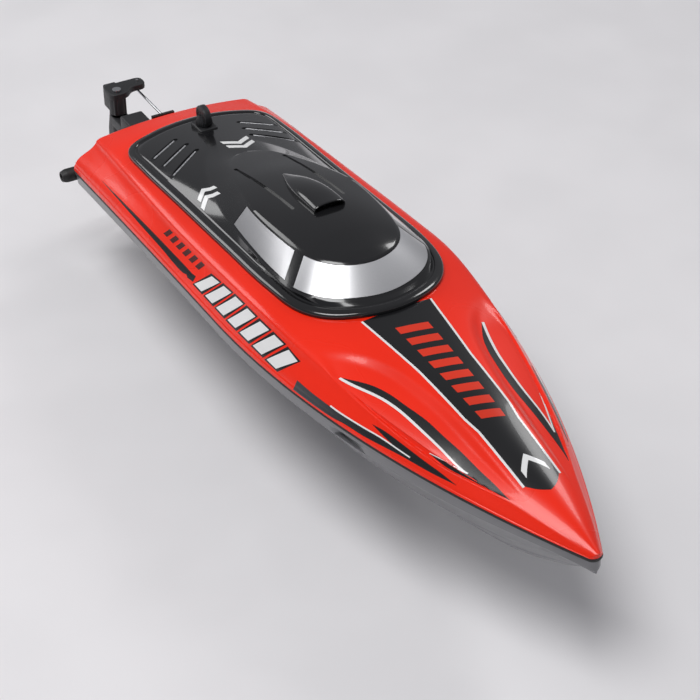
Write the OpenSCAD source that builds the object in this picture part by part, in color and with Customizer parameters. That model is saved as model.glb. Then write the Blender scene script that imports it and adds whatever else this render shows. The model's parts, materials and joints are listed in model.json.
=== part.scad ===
// Radio-controlled racing boat, deep-vee hull with a lift-off canopy.
// Units are millimetres. Stations are measured forward from the transom; +X is the bow,
// +Y is port and +Z is up. The origin is the centre of the flat keel pad.

/* [Hull] */
// Length of the hull from transom to bow
hull_len = 420; // [400:1:440]
// Half of the beam at the widest station
half_beam = 65; // [62:0.5:68]
// Station where the sides begin to close towards the bow
shoulder_x = 185; // [175:1:195]
// Radius of the rounded bow tip in plan
nose_r = 5; // [4:0.5:6]
// Height of the hull seam at the transom
seam_z0 = 45; // [44:0.5:46]
// Wall thickness of the hull and deck mouldings
wall = 2; // [1.8:0.1:2.2]
// Half width of the flat keel pad
pad_half = 6; // [5:0.5:7]
// Thickness of the rubber seam gasket
gasket_h = 2; // [1.6:0.1:2.4]

/* [Canopy] */
// Thickness of the canopy moulding
canopy_wall = 1.8; // [1.6:0.1:2]
// Height of the canopy's rim above the deck
rim_h = 2.6; // [2.2:0.1:3]
// Air gap between canopy and deck
canopy_gap = 0.3; // [0.3:0.1:0.5]
// Station of the latch knob
latch_x = 44; // [43:0.5:46]

/* [Drive] */
// Slope of the propeller shaft, rise over run
shaft_slope = 0.15; // [0.14:0.005:0.16]
// Radius of the drive shaft
shaft_r = 2; // [1.9:0.05:2.1]
// Outer radius of the stuffing tube
tube_r = 3.2; // [3:0.1:3.4]
// Radius of the motor can
motor_r = 13.8; // [13.6:0.1:14]
// Radius of the propeller
prop_r = 16; // [15:0.5:17]

/* [Steering] */
// Height of the steering rod
rod_z = 61.5; // [61:0.25:62]
// Radius of the steering rod
rod_r = 0.8; // [0.7:0.05:0.9]
// Station of the rudder's pivot pin
rudder_x = -36; // [-38:0.5:-35]
// Offset of the rudder to starboard
rudder_y = -19; // [-20:0.5:-18]
// Radius of the rudder's pivot pin
pin_r = 1.5; // [1.4:0.05:1.6]

/* [Hidden] */
$fn = 48;
running = 0.05;                          // radial clearance of a pin or shaft that turns
pad_x0 = 50;                             // the keel pad's flat runs from here ...
pad_x1 = 240;                            // ... to here
origin_x = (pad_x0 + pad_x1) / 2;
horn_reach = [-5, 15.5];                 // rudder pivot to the rod's hole; the servo arm has the same reach
servo_x = 78;                            // station of the servo's output shaft
prop_x = -26;                            // station of the propeller's middle
shaft_z0 = -5;                           // height of the shaft there
shaft_tilt = atan(shaft_slope);
outlet_y = -52;                          // the cooling outlet's pipe through the transom
outlet_z = 40;

// Deck lines: station, centre height, shoulder crease offset, shoulder crease height.
DECK_LINES = [[0, 65.4, 48.5, 61.8], [25, 71.5, 50.5, 65], [60, 75.5, 52.5, 67.8],
    [120, 80, 54.5, 70.8], [180, 83, 55, 75], [215, 83.5, 54.5, 77], [250, 81.5, 51, 75],
    [290, 79, 44, 71.5], [330, 75, 33.5, 67.5], [370, 68.3, 20.5, 62.5], [400, 62, 10, 58.5],
    [420, 56.5, 2.2, 54.8]];
// Keel profile: station, height.
KEEL_LINE = [[0, 1], [42, 1], [50, 0], [240, 0], [290, 2.5], [330, 9], [370, 21], [400, 35], [420, 49]];
// Canopy rings, rear centre to front centre on the port side: [x, y] for the rim, [x, y, z] above it.
RIM_RING = [[24, 0], [26.5, 26], [34, 43], [60, 46], [110, 46], [160, 46], [203, 45.5], [230, 41],
    [247, 26], [254.6, 0]];
BASE_RING = [[70, 0, 82], [74, 10, 82], [86, 20, 82], [105, 28, 82.4], [128, 34, 83], [160, 38, 83.5],
    [198, 40, 84.2], [223, 37.5, 84.8], [239, 24, 85], [246, 0, 85]];
BROW_RING = [[92, 0, 85.4], [94, 7, 85.8], [102, 13, 87.6], [116, 18, 90.4], [135, 23.5, 93.4],
    [160, 29, 95.8], [190, 28.5, 96.8], [212, 24.5, 96.9], [224.5, 15, 96.8], [229, 0, 96.6]];
// Roof ridge: station, height.
RIDGE_LINE = [[92, 85.6], [112, 90.4], [135, 95.9], [160, 99.8], [184, 102.4], [205, 101.8], [222, 98.8],
    [229, 96.6]];

// ---- curves ----
function lerp(a, b, t) = a + (b - a) * t;
function clamp(v, lo, hi) = min(max(v, lo), hi);
function smooth(t) = let (c = clamp(t, 0, 1)) c * c * (3 - 2 * c);
function slope_at(tab, i, c) =
    let (lo = max(i - 1, 0), hi = min(i + 1, len(tab) - 1))
    (tab[hi][c] - tab[lo][c]) / (tab[hi][0] - tab[lo][0]);
function span_of(tab, x) = max([for (i = [0 : len(tab) - 2]) if (x >= tab[i][0] || i == 0) i]);
// A smooth curve through one column of a table whose first column is the station.
function look(tab, x, c) =
    let (i = span_of(tab, x), w = tab[i + 1][0] - tab[i][0], t = clamp((x - tab[i][0]) / w, 0, 1),
        a = slope_at(tab, i, c) * w, b = slope_at(tab, i + 1, c) * w)
    (2 * t ^ 3 - 3 * t ^ 2 + 1) * tab[i][c] + (t ^ 3 - 2 * t ^ 2 + t) * a
        + (3 * t ^ 2 - 2 * t ^ 3) * tab[i + 1][c] + (t ^ 3 - t ^ 2) * b;
function flip(p) = [for (k = [0 : len(p) - 1]) k == 1 ? -p[k] : p[k]];
// A point on a ring of control points that starts and ends on the centre plane; u runs from 0 to len - 1.
function on_ring(ring, u) =
    let (n = len(ring) - 1, i = min(floor(u), n - 1), t = u - i,
        p0 = i == 0 ? flip(ring[1]) : ring[i - 1], p3 = i == n - 1 ? flip(ring[n - 1]) : ring[i + 2],
        p1 = ring[i], p2 = ring[i + 1])
    0.5 * (2 * p1 + (p2 - p0) * t + (2 * p0 - 5 * p1 + 4 * p2 - p3) * t ^ 2
        + (3 * p1 - p0 - 3 * p2 + p3) * t ^ 3);
// The whole ring, anticlockwise from above, steps points for each span of the half ring.
function full_ring(ring, steps) =
    let (n = (len(ring) - 1) * steps, half = [for (k = [0 : n]) on_ring(ring, k / steps)])
    concat([for (k = [0 : n]) flip(half[k])], [for (k = [n - 1 : -1 : 1]) half[k]]);

// ---- hull lines ----
function breadth(x) = let (r = nose_r, far = hull_len + 5)
    x < shoulder_x ? half_beam - 1.2 * ((shoulder_x - x) / shoulder_x) ^ 2
    : min(half_beam * (1 - ((x - shoulder_x) / (far - shoulder_x)) ^ 2),
        x > hull_len - r ? sqrt(max(r ^ 2 - (x - hull_len + r) ^ 2, 0.36)) : half_beam);
function seam_z(x) = let (t = x / hull_len) seam_z0 + 32 * t - 24 * t ^ 2;
function chine_y(x) = max(breadth(x) - 9.5 * (1 - 0.3 * smooth((x - 330) / 90)), 0.45 * breadth(x));
function chine_z(x) = min(25 + 22 * (x / hull_len) ^ 3.2, seam_z(x) - 5);
// The keel is exactly flat along the pad that the boat rests on.
function keel_z(x) = x >= 50 && x <= 240 ? 0 : min(look(KEEL_LINE, x, 1), chine_z(x) - 2);
function pad_y(x) = min(pad_half, 0.3 * chine_y(x));
function crown_z(x, y) = let (c = look(DECK_LINES, x, 1), yc = look(DECK_LINES, x, 2),
    zc = look(DECK_LINES, x, 3))
    c - (c - zc) * (abs(y) / yc) ^ 2;
function bez(a, b, c, d, t) = (1 - t) ^ 3 * a + 3 * (1 - t) ^ 2 * t * b + 3 * (1 - t)
    * t ^ 2 * c + t ^ 3 * d;
// The deck's side from the shoulder crease (t = 0) to the seam (t = 1).
function side_pt(x, t) =
    let (b = breadth(x), zs = seam_z(x) + gasket_h / 2, yc = min(look(DECK_LINES, x, 2), b - 0.2),
        zc = look(DECK_LINES, x, 3), h = zc - zs, k = 1 - smooth(x / 150))
    bez([yc, zc], [yc + min(2, (b - yc) * 0.3), zc - h * (0.35 + 0.17 * k)],
        [b - (1 - k) * min(1, b / 20), zs + h * (0.34 + 0.31 * k)], [b, zs], t);
CROWN_STEPS = 6;
SIDE_STEPS = 6;
function deck_half(x) = let (yc = min(look(DECK_LINES, x, 2), breadth(x) - 0.2)) concat(
    [for (k = [0 : CROWN_STEPS - 1]) let (y = yc * k / CROWN_STEPS) [y, crown_z(x, y)]],
    [for (k = [0 : SIDE_STEPS]) side_pt(x, k / SIDE_STEPS)]);
function mirror_half(half) = concat([for (k = [len(half) - 1 : -1 : 0]) if (half[k][0] > 0.001)
    [-half[k][0], half[k][1]]], half);
function inset_half(half, t, b) = [for (p = half) [p[0] * (1 - t / max(b, 2 * t)), p[1] - t]];
// The hull's section: keel pad, bottom, knuckle, the foot of the narrow side strip, and the seam.
function hull_half(x) = let (k = keel_z(x), b = breadth(x), p = pad_y(x), w = chine_y(x), c = chine_z(x),
    y1 = min(0.62 * b, 0.8 * w), t = (y1 - p) / (w - p), z1 = lerp(k, c, t) - 0.8 * (1 - abs(2 * t - 1)),
    top = seam_z(x) - gasket_h / 2, foot = top - 8 + 3 * smooth((x - 330) / 90), e = b - min(2, 0.15 * b))
    [[p, k], [lerp(p, y1, 0.6), lerp(k, z1, 0.6) - 0.5], [y1, z1], [e, foot],
        [e + 0.6 * min(1, e / 10), foot + 0.8], [b - 0.6 * min(1, b / 4), top]];

STATIONS = concat([for (x = [0 : 15 : 240]) x], [for (x = [250 : 10 : 390]) x], [398, 405, 411, 415, 418,
    420]);

// A solid skinned over closed sections, each a list of [y, z] at one station.
function area2(p) = let (n = len(p))
    [for (k = 0, a = 0; k <= n; a = a + (k < n ? p[k][0] * p[(k + 1) % n][1] - p[(k + 1)
        % n][0] * p[k][1] : 0), k = k + 1)
        a][n];
module skin(xs, sections) {
    n = len(sections[0]);
    m = len(sections);
    left = area2(sections[floor(m / 2)]) > 0;
    points = [for (i = [0 : m - 1]) for (j = [0 : n - 1])
        let (p = sections[i][left ? n - 1 - j : j]) [xs[i], p[0], p[1]]];
    sides = [for (i = [0 : m - 2]) for (j = [0 : n - 1]) let (a = i * n + j, b = i * n + (j + 1) % n)
        each [[a, b, b + n], [a, b + n, a + n]]];
    polyhedron(points, concat(sides, [[for (j = [n - 1 : -1 : 0]) j]], [[for (j = [0 : n - 1]) (m - 1)
        * n + j]]),
        convexity = 6);
}
// A solid skinned over closed rings of [x, y, z], anticlockwise from above and listed from the bottom up.
module ring_skin(rings) {
    n = len(rings[0]);
    m = len(rings);
    top = (m - 1) * n;
    points = [for (r = rings) each r];
    sides = [for (i = [0 : m - 2]) for (j = [0 : n - 1]) let (a = i * n + j, b = i * n + (j + 1) % n)
        each [[a, b + n, b], [a, a + n, b + n]]];
    caps = [for (k = [0 : n / 2 - 1]) let (d = (n - k) % n, c = n - k - 1) each concat(
        k > 0 ? [[top + k, top + d, top + c], [k, c, d]] : [],
        k < n / 2 - 1 ? [[top + k, top + c, top + k + 1], [k, k + 1, c]] : [])];
    polyhedron(points, concat(sides, caps), convexity = 6);
}
// A curved plate: a grid of points for its outer face and one for its inner face.
module plate_skin(inner, outer) {
    rows = len(outer);
    cols = len(outer[0]);
    n = rows * cols;
    points = concat([for (r = inner) each r], [for (r = outer) each r]);
    faces = [for (i = [0 : rows - 2]) for (j = [0 : cols - 2]) let (a = i * cols + j)
        each [[a, a + cols, a + 1], [a + 1, a + cols, a + cols + 1],
            [n + a, n + a + 1, n + a + cols], [n + a + 1, n + a + cols + 1, n + a + cols]]];
    edge = concat([for (j = [0 : cols - 2]) [j, j + 1]], [for (i = [0 : rows - 2]) [(i + 1) * cols - 1,
        (i + 2) * cols - 1]],
        [for (j = [cols - 1 : -1 : 1]) [(rows - 1) * cols + j, (rows - 1) * cols + j - 1]],
        [for (i = [rows - 1 : -1 : 1]) [i * cols, (i - 1) * cols]]);
    rim = [for (e = edge) each [[e[0], e[1], n + e[1]], [e[0], n + e[1], n + e[0]]]];
    polyhedron(points, concat(faces, rim), convexity = 6);
}
// Turns the children's exact solids into one plain mesh, so that large shells are cut quickly.
module as_mesh() { resize([0, 0, 0]) children(); }
module in_frame() { translate([-origin_x, 0, 0]) children(); }
module on_shaft(x) {
    translate([x, 0, shaft_z(x)]) rotate([0, -shaft_tilt, 0]) rotate([0, 90, 0]) children();
}
function shaft_z(x) = shaft_z0 + shaft_slope * (x - prop_x);
module bolt(r, l, head_r, head_h) {
    translate([0, 0, -l]) cylinder(r = r, h = l);
    difference() {
        cylinder(r = head_r, h = head_h);
        for (a = [0, 90]) rotate([0, 0, a]) translate([-head_r * 0.7, -0.3, head_h * 0.5])
            cube([head_r * 1.4, 0.6, head_h]);
    }
}

// ---- shells ----
INNER = concat([wall], [for (x = STATIONS) if (x > 5 && x < 403) x]);
function slab(x, lo, hi, b) = [[-b, lo], [-b, hi], [b, hi], [b, lo]];
// The canopy's outline brought in by d, as points of [x, y].
function rim_outline(d) = full_ring([for (p = RIM_RING)
    let (cx = clamp(p[0], 80, 200), v = [p[0] - cx, p[1]], l = norm(v)) [cx + v[0] * (l - d) / l,
        v[1] * (l - d) / l]], 4);
function on_crown(ring, h) = [for (p = ring) [p[0], p[1], crown_z(p[0], p[1]) + h]];
function flat_at(ring, z) = [for (p = ring) [p[0], p[1], z]];
function shrink(ring, d) = [for (p = ring) let (cx = clamp(p[0], 112, 190), v = [p[0] - cx, p[1]],
    l = max(norm(v), 0.01))
    [cx + v[0] * (l - d) / l, v[1] * (l - d) / l, p[2] - 0.6 * d]];
function roof_ring(f, ring) = [for (p = ring) [p[0], p[1] * f, p[2] + (look(RIDGE_LINE, p[0], 1) - p[2])
    * (1 - f * f)]];
module deck_block(d) { translate([0, 0, d]) skin(STATIONS, [for (x = STATIONS)
    mirror_half(deck_half(x))]); }
module canopy_block() {
    brow = full_ring(BROW_RING, 4);
    ring_skin([flat_at(rim_outline(0), 60), on_crown(rim_outline(0), rim_h * 0.7),
        on_crown(rim_outline(0.8), rim_h),
        on_crown(rim_outline(4), rim_h + 0.4), full_ring(BASE_RING, 4), brow, roof_ring(0.7, brow),
            roof_ring(0.4, brow),
        roof_ring(0.12, brow)]);
}
module canopy_void() {
    brow = shrink(full_ring(BROW_RING, 4), canopy_wall);
    ridge = [for (p = brow) look(RIDGE_LINE, p[0], 1) - canopy_wall];
    function roof(f) = [for (i = [0 : len(brow) - 1]) let (p = brow[i]) [p[0], p[1] * f, lerp(p[2],
        ridge[i], 1 - f * f)]];
    ring_skin([flat_at(rim_outline(9), 60), on_crown(rim_outline(9), rim_h - 1.1),
        shrink(full_ring(BASE_RING, 4), canopy_wall), brow, roof(0.7), roof(0.4), roof(0.12)]);
}
// A point of the glazed band: s counts ring spans from the front centre, to port positive; v runs from sill to brow.
function band(s, v) = let (p = lerp(on_ring(BASE_RING, 9 - abs(s)), on_ring(BROW_RING, 9 - abs(s)), v))
    s < 0 ? flip(p) : p;
function band_at(s, v, o) = let (n = cross(band(s + 0.02, v) - band(s - 0.02, v), band(s, v + 0.1)
    - band(s, v - 0.1)))
    band(s, v) + n * (o / norm(n));
module pane(s0, s1, v0, v1, o0, o1) {
    ns = round(abs(s1 - s0) * 4);
    layer = function (o) [for (i = [0 : ns])
        [for (j = [0 : 3]) band_at(lerp(s0, s1, i / ns), lerp(v0, v1, j / 3), o)]];
    plate_skin(layer(o0), layer(o1));
}
SCREEN = [-2.2, 2.2, 0.08, 0.92];
SIDE_GLASS = [2.5, 4.25, 0.1, 0.9];
PANE_GAP = [0.008, -0.008, 0.012, -0.012];   // room between a pane and the edge of its opening
module glass(g, o0, o1) { pane(g[0], g[1], g[2], g[3], o0, o1); }
// The scoop's outside (d = 0) and its tunnel (d = its wall).
SCOOP_LINE = [[139, 0.6, 0.3], [146, 3.5, 1.8], [155, 6.4, 3.6], [166, 8.4, 4.6], [178, 9, 4.4], [188, 9,
    3.9]];
module scoop_block(d) {
    xs = [for (r = SCOOP_LINE) r[0] + (d > 0 && r[0] > 187 ? 1 : 0)];
    keep = [for (i = [0 : len(xs) - 1]) if (d == 0 || xs[i] > 160) i];
    skin([for (i = keep) xs[i]], [for (i = keep) let (w = SCOOP_LINE[i][1] - d, h = SCOOP_LINE[i][2] - d,
        z = look(RIDGE_LINE, SCOOP_LINE[i][0], 1))
        concat([[-w, z - 1.5 + d]], [for (a = [180 : -22.5 : 0]) [w * cos(a), z + h * sin(a) ^ 0.6]],
            [[w, z - 1.5 + d]])]);
}
module slot(a, b, w) { hull() { translate(a) cylinder(r = w, h = 9, $fn = 12); translate(b)
    cylinder(r = w, h = 9, $fn = 12); } }
module vent_cuts() {
    for (s = [-1, 1]) {
        slot([57, s * 38, 73.8], [47.5, s * 20, 76], 1.5);
        slot([69, s * 37.5, 75.1], [58, s * 18, 77.8], 1.5);
        slot([82, s * 38, 76], [69, s * 17, 79.5], 1.5);
    }
}

function hull_inner(x) = [for (p = hull_half(x)) [p[0] * (1 - wall / max(breadth(x), 4)), p[1] + wall]];
module lower_hull() color([0.64, 0.66, 0.68]) in_frame() as_mesh() difference() {
    skin(STATIONS, [for (x = STATIONS) mirror_half(hull_half(x))]);
    skin(INNER, [for (x = INNER) mirror_half(hull_inner(x))]);
    on_shaft(-24) cylinder(r = tube_r + 0.15, h = 110);
    translate([-1, outlet_y, outlet_z]) rotate([0, 90, 0]) cylinder(r = 3.15, h = 6, $fn = 32);
    for (y = [-15, 15]) translate([22, y, -6]) cylinder(r = 1.65, h = 26, $fn = 24);
    translate([35, 15, -6]) cylinder(r = 2.1, h = 26, $fn = 24);
    for (y = [-5, 5], z = [12, 19]) translate([-3, y, z]) rotate([0, 90, 0]) cylinder(r = 1.05, h = 9,
        $fn = 16);
    for (y = [-5.4, 5.4], z = [14, 38]) translate([-3, rudder_y + y, z]) rotate([0, 90, 0])
        cylinder(r = 1.2, h = 9, $fn = 16);
}
module deck_shell() color([0.86, 0.17, 0.05]) in_frame() as_mesh() difference() {
    deck_block(0);
    skin(INNER, [for (x = INNER) let (b = breadth(x)) mirror_half([for (p = deck_half(x))
        [p[0] * (1 - wall / max(b, 4)), p[1] - wall]])]);
    ring_skin([flat_at(rim_outline(11), 55), flat_at(rim_outline(11), 100)]);
    translate([-3, -10, rod_z - 2.3]) cube([8, 9.1, 4.6]);
}
module seam_gasket() color([0.06, 0.06, 0.06]) in_frame() as_mesh() difference() {
    skin(STATIONS, [for (x = STATIONS) slab(x, seam_z(x) - gasket_h / 2, seam_z(x) + gasket_h / 2,
        breadth(x) + 0.3)]);
    skin(INNER, [for (x = INNER) slab(x, seam_z(x) - 4, seam_z(x) + 4, max(breadth(x) - 4, breadth(x)
        * 0.6))]);
}
module hatch_seal() color([0.1, 0.1, 0.1]) in_frame() as_mesh() difference() {
    ring_skin([on_crown(rim_outline(11.05), -2.4), on_crown(rim_outline(11.05), 0.4)]);
    ring_skin([on_crown(rim_outline(12.5), -9), on_crown(rim_outline(12.5), 9)]);
}

// ---- canopy ----
module canopy_shell() color([0.07, 0.07, 0.075]) in_frame() as_mesh() difference() {
    canopy_block();
    canopy_void();
    deck_block(canopy_gap);
    glass(SCREEN, -4, 3);
    for (s = [0, 1]) mirror([0, s, 0]) glass(SIDE_GLASS, -4, 3);
    vent_cuts();
    groove = [[112, 89.1], [128, 92.7], [144, 95.6], [160, 97.9], [176, 99.5]];
    for (s = [-1, 1], i = [0 : 3]) slot([groove[i][0], s * 14.6, groove[i][1]], [groove[i + 1][0],
        s * 14.6, groove[i + 1][1]], 0.9);
    translate([latch_x, 0, 66]) cylinder(r = 3.4, h = 30, $fn = 32);
}
module windscreen() color([0.7, 0.71, 0.73]) in_frame() glass(SCREEN + PANE_GAP, -1.6, -0.1);
module side_window_port() color([0.7, 0.71, 0.73]) in_frame() glass(SIDE_GLASS + PANE_GAP, -1.6, -0.1);
module side_window_starboard() color([0.7, 0.71, 0.73]) in_frame() mirror([0, 1, 0])
    glass(SIDE_GLASS + PANE_GAP, -1.6, -0.1);
module air_scoop() color([0.07, 0.07, 0.075]) in_frame() as_mesh() difference() {
    scoop_block(0);
    scoop_block(1.1);
    canopy_block();
}
module scoop_grille() color([0.12, 0.12, 0.12]) in_frame() as_mesh() difference() {
    intersection() {
        scoop_block(1.15);
        union() {
            for (y = [-6 : 2 : 6]) translate([181, y - 0.4, 95]) cube([1.2, 0.8, 20]);
            translate([181, -9, 103.2]) cube([1.2, 18, 0.9]);
        }
    }
    canopy_block();
}

// ---- latch ----
knob_z = 79.4;                           // top of the latch's base block
module latch_base() color([0.08, 0.08, 0.08]) in_frame() difference() {
    translate([latch_x, 0, 74.4]) {
        cylinder(r = 3.2, h = 3);
        translate([-6.5, -5.5, 1.8]) cube([13, 11, 3.2]);
    }
    translate([latch_x, 0, 70]) cylinder(r = 2.05, h = 12);
}
module latch_knob() color([0.06, 0.06, 0.06]) in_frame() translate([latch_x, 0, knob_z + 0.3])
    difference() {
    union() {
        cylinder(r = 4.6, h = 2.6);
        translate([0, 0, 2.5]) cylinder(r1 = 4.2, r2 = 3, h = 3.5);
        rotate([0, 0, 90]) translate([-2, -6.4, 2.5]) cube([4, 12.8, 5]);
        rotate([0, 0, 90]) translate([0, 0, 7.4]) rotate([0, 90, 0]) translate([0, 0, -2]) intersection() {
            cylinder(r = 4, h = 4);
            translate([-4, -4, 0]) cube([4.1, 8, 4]);
        }
        translate([0, 0, -10.9]) cylinder(r = 2, h = 11);
    }
    translate([0, 0, -11]) cylinder(r = 0.8, h = 7);
}
module latch_tongue() color([0.55, 0.56, 0.58]) in_frame() translate([latch_x, 0, 66.6]) difference() {
    union() {
        cylinder(r = 3.6, h = 2.2);
        translate([-2.6, 0, 0]) cube([5.2, 14.2, 2.2]);
    }
    translate([0, 0, -1]) cylinder(r = 1.1, h = 5);
}
module latch_screw() color([0.6, 0.6, 0.62]) in_frame() translate([latch_x, 0, 66.6]) mirror([0, 0, 1])
    bolt(0.8, 7, 2, 1.2);
module latch_keeper() color([0.6, 0.6, 0.62]) in_frame() translate([28.5, -7, 69.1]) cube([6.3, 14, 1.5]);

// ---- steering ----
module rudder_blade() color([0.1, 0.1, 0.105]) in_frame() difference() {
    union() {
        translate([rudder_x, rudder_y + 1.9, 0]) rotate([90, 0, 0]) linear_extrude(3.8)
            polygon([[-10, 67.6], [-5.6, 67.6], [-5.6, 19.6], [5, 19.6], [4.5, 2], [1, -21], [-11, -21],
                [-14, -8], [-14, 36], [-10, 50]]);
        translate([rudder_x, rudder_y, 26.3]) cylinder(r = 4.4, h = 19.4);
        translate([rudder_x - 7, rudder_y - 1.9, 26.3]) cube([7, 3.8, 19.4]);
        translate([rudder_x - 10, rudder_y - 9, 63.8]) cube([11, 18, 3.8]);
        translate([rudder_x, rudder_y, 53.3]) cylinder(r = 5, h = 14.3);
        translate([rudder_x - 12, rudder_y - 4, 53.3]) cube([16.4, 8, 14.3]);
        translate([rudder_x - 10, rudder_y - 1.9, 63.8]) cube([10, 18, 3.8]);
        translate([rudder_x + horn_reach[0], rudder_y + horn_reach[1], 63.8]) cylinder(r = 5, h = 3.8);
    }
    translate([rudder_x, rudder_y, 10]) cylinder(r = pin_r + running, h = 70);
    translate([rudder_x + horn_reach[0], rudder_y + horn_reach[1], 60]) cylinder(r = rod_r + running,
        h = 12);
}
module rudder_pin() color([0.7, 0.71, 0.73]) in_frame() translate([rudder_x, rudder_y, 17]) {
    cylinder(r = pin_r, h = 50.9);
    translate([0, 0, 50.9]) cylinder(r = 2.6, h = 1);
}
module rudder_bracket() color([0.08, 0.08, 0.085]) in_frame() difference() {
    union() {
        translate([-3, rudder_y - 8, 8]) cube([3, 16, 49]);
        translate([-28, rudder_y - 2.5, 20.1]) cube([25.5, 5, 31.8]);
        for (z = [20, 46]) translate([0, 0, z]) {
            translate([rudder_x, rudder_y, 0]) cylinder(r = 5, h = 6);
            translate([rudder_x, rudder_y - 5, 0]) cube([-rudder_x - 2.5, 10, 6]);
        }
        translate([-17, rudder_y - 7, 46]) cube([14.5, 14, 16]);
    }
    translate([rudder_x, rudder_y, 10]) cylinder(r = pin_r, h = 60);
    for (s = [-5.4, 5.4], z = [14, 38]) translate([-4, rudder_y + s, z]) rotate([0, 90, 0])
        cylinder(r = 1.1, h = 6);
    translate([-12, rudder_y - 4, 58]) cube([5, 8, 5]);
}
module rudder_bracket_screws() color([0.6, 0.6, 0.62]) in_frame() for (s = [-5.4, 5.4], z = [14, 38])
    translate([-3, rudder_y + s, z]) rotate([0, -90, 0]) bolt(1.1, 7, 2, 1.2);
module steering_rod() color([0.75, 0.75, 0.77]) in_frame() {
    tail = [rudder_x + horn_reach[0], rudder_y + horn_reach[1], rod_z];
    translate(tail) rotate([0, 90, 0]) cylinder(r = rod_r, h = servo_x - rudder_x);
    translate(tail) cylinder(r = rod_r, h = 7.4);
    translate(tail) sphere(r = rod_r);
    translate([tail[0] + servo_x - rudder_x, tail[1], rod_z]) { sphere(r = rod_r); mirror([0, 0, 1])
        cylinder(r = rod_r, h = 5.6); }
}
module rod_boot() color([0.09, 0.09, 0.09]) in_frame() difference() {
    union() {
        translate([-2, -12.4, rod_z - 4.2]) cube([2, 13.9, 8.4]);
        translate([-0.1, -9.9, rod_z - 2.2]) cube([4.5, 8.9, 4.4]);
    }
    translate([-6, -9.1, rod_z - 1.3]) cube([12, 7.3, 2.6]);
}

// ---- servo ----
servo_top = 54;                          // top of the servo's case
module servo_case() color([0.12, 0.14, 0.3]) in_frame() difference() {
    union() {
        translate([servo_x - 22, rudder_y - 6, servo_top - 28]) cube([28, 12, 28]);
        translate([servo_x - 27, rudder_y - 6, servo_top - 10]) cube([38, 12, 2]);
        translate([servo_x, rudder_y, servo_top - 1]) cylinder(r = 5.5, h = 2);
    }
    for (x = [-24.5, 8.5]) translate([servo_x + x, rudder_y, servo_top - 12]) cylinder(r = 1.1, h = 6);
}
module servo_screws() color([0.6, 0.6, 0.62]) in_frame() for (x = [-24.5, 8.5])
    translate([servo_x + x, rudder_y, servo_top - 8]) bolt(1, 8, 2, 1.2);
module servo_tray() color([0.5, 0.34, 0.18]) in_frame() difference() {
    translate([servo_x - 29, rudder_y + 6.5, 0]) rotate([90, 0, 0]) linear_extrude(13)
        polygon([[0, 2], [6.6, 2], [6.6, 16], [35.4, 16], [35.4, 2], [42, 2], [42, 44], [35.4, 44],
            [35.4, 19],
            [6.6, 19], [6.6, 44], [0, 44]]);
    translate([servo_x - 40, rudder_y, 7.4]) rotate([-atan(25 / 48.5), 0, 0]) translate([0, -20, -10])
        cube([60, 40, 10]);
    for (x = [-24.5, 8.5]) translate([servo_x + x, rudder_y, servo_top - 18.5]) cylinder(r = 1, h = 12);
}
module servo_arm() color([0.9, 0.9, 0.88]) in_frame() difference() {
    reach = norm(horn_reach);
    union() {
        translate([servo_x, rudder_y, 55.3]) cylinder(r = 4, h = 4.5);
        translate([servo_x, rudder_y, 57.3]) rotate([0, 0, atan2(horn_reach[1], horn_reach[0])])
            translate([0, -2.1, 0]) cube([reach, 4.2, 2.3]);
        translate([servo_x + horn_reach[0], rudder_y + horn_reach[1], 57.3]) cylinder(r = 2.5, h = 2.3);
    }
    translate([servo_x + horn_reach[0], rudder_y + horn_reach[1], 54]) cylinder(r = rod_r + running, h = 8);
    translate([servo_x, rudder_y, 54]) cylinder(r = 1, h = 8);
}
module servo_arm_screw() color([0.6, 0.6, 0.62]) in_frame() translate([servo_x, rudder_y, 59.8]) bolt(1,
    4, 2, 1.2);

// ---- drive ----
module propeller() color([0.1, 0.1, 0.1]) in_frame() on_shaft(prop_x) difference() {
    union() {
        translate([0, 0, -6]) cylinder(r = 4, h = 12);
        for (a = [0 : 120 : 240]) rotate([0, 0, a]) rotate([0, 90, 0]) rotate([0, 0, 38]) translate([0,
            0, 2])
            intersection() {
                translate([-9, -0.7, 0]) cube([18, 1.4, prop_r - 2.2]);
                translate([0, 3, (prop_r - 1) / 2]) rotate([90, 0, 0]) cylinder(r = (prop_r + 0.5) / 2,
                    h = 6);
            }
    }
    translate([0, 0, -7]) cylinder(r = shaft_r, h = 14);
}
module drive_shaft() color([0.75, 0.75, 0.77]) in_frame() on_shaft(prop_x) translate([0, 0, -11])
    cylinder(r = shaft_r, h = 156);
module propeller_nut() color([0.72, 0.6, 0.25]) in_frame() on_shaft(prop_x) translate([0, 0, -6])
    mirror([0, 0, 1]) difference() {
    union() {
        cylinder(r = 3.8, h = 2.6, $fn = 6);
        translate([0, 0, 2.5]) cylinder(r1 = 3, r2 = 1.8, h = 3.4);
    }
    translate([0, 0, -1]) cylinder(r = shaft_r, h = 6);
}
motor_x = 136;                           // the motor's rear face
module shaft_coupler() color([0.45, 0.46, 0.48]) in_frame() on_shaft(prop_x) difference() {
    translate([0, 0, 136]) cylinder(r = 5, h = 19);
    translate([0, 0, 130]) cylinder(r = shaft_r, h = 15);
    translate([0, 0, 140]) cylinder(r = 1.6, h = 20);
}
module motor_shaft() color([0.75, 0.75, 0.77]) in_frame() on_shaft(prop_x) translate([0, 0, 146])
    cylinder(r = 1.6, h = 60);
module stuffing_tube() color([0.72, 0.6, 0.25]) in_frame() on_shaft(prop_x) difference() {
    translate([0, 0, 20]) cylinder(r = tube_r, h = 112);
    translate([0, 0, 18]) cylinder(r = shaft_r + running, h = 116);
}
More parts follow.
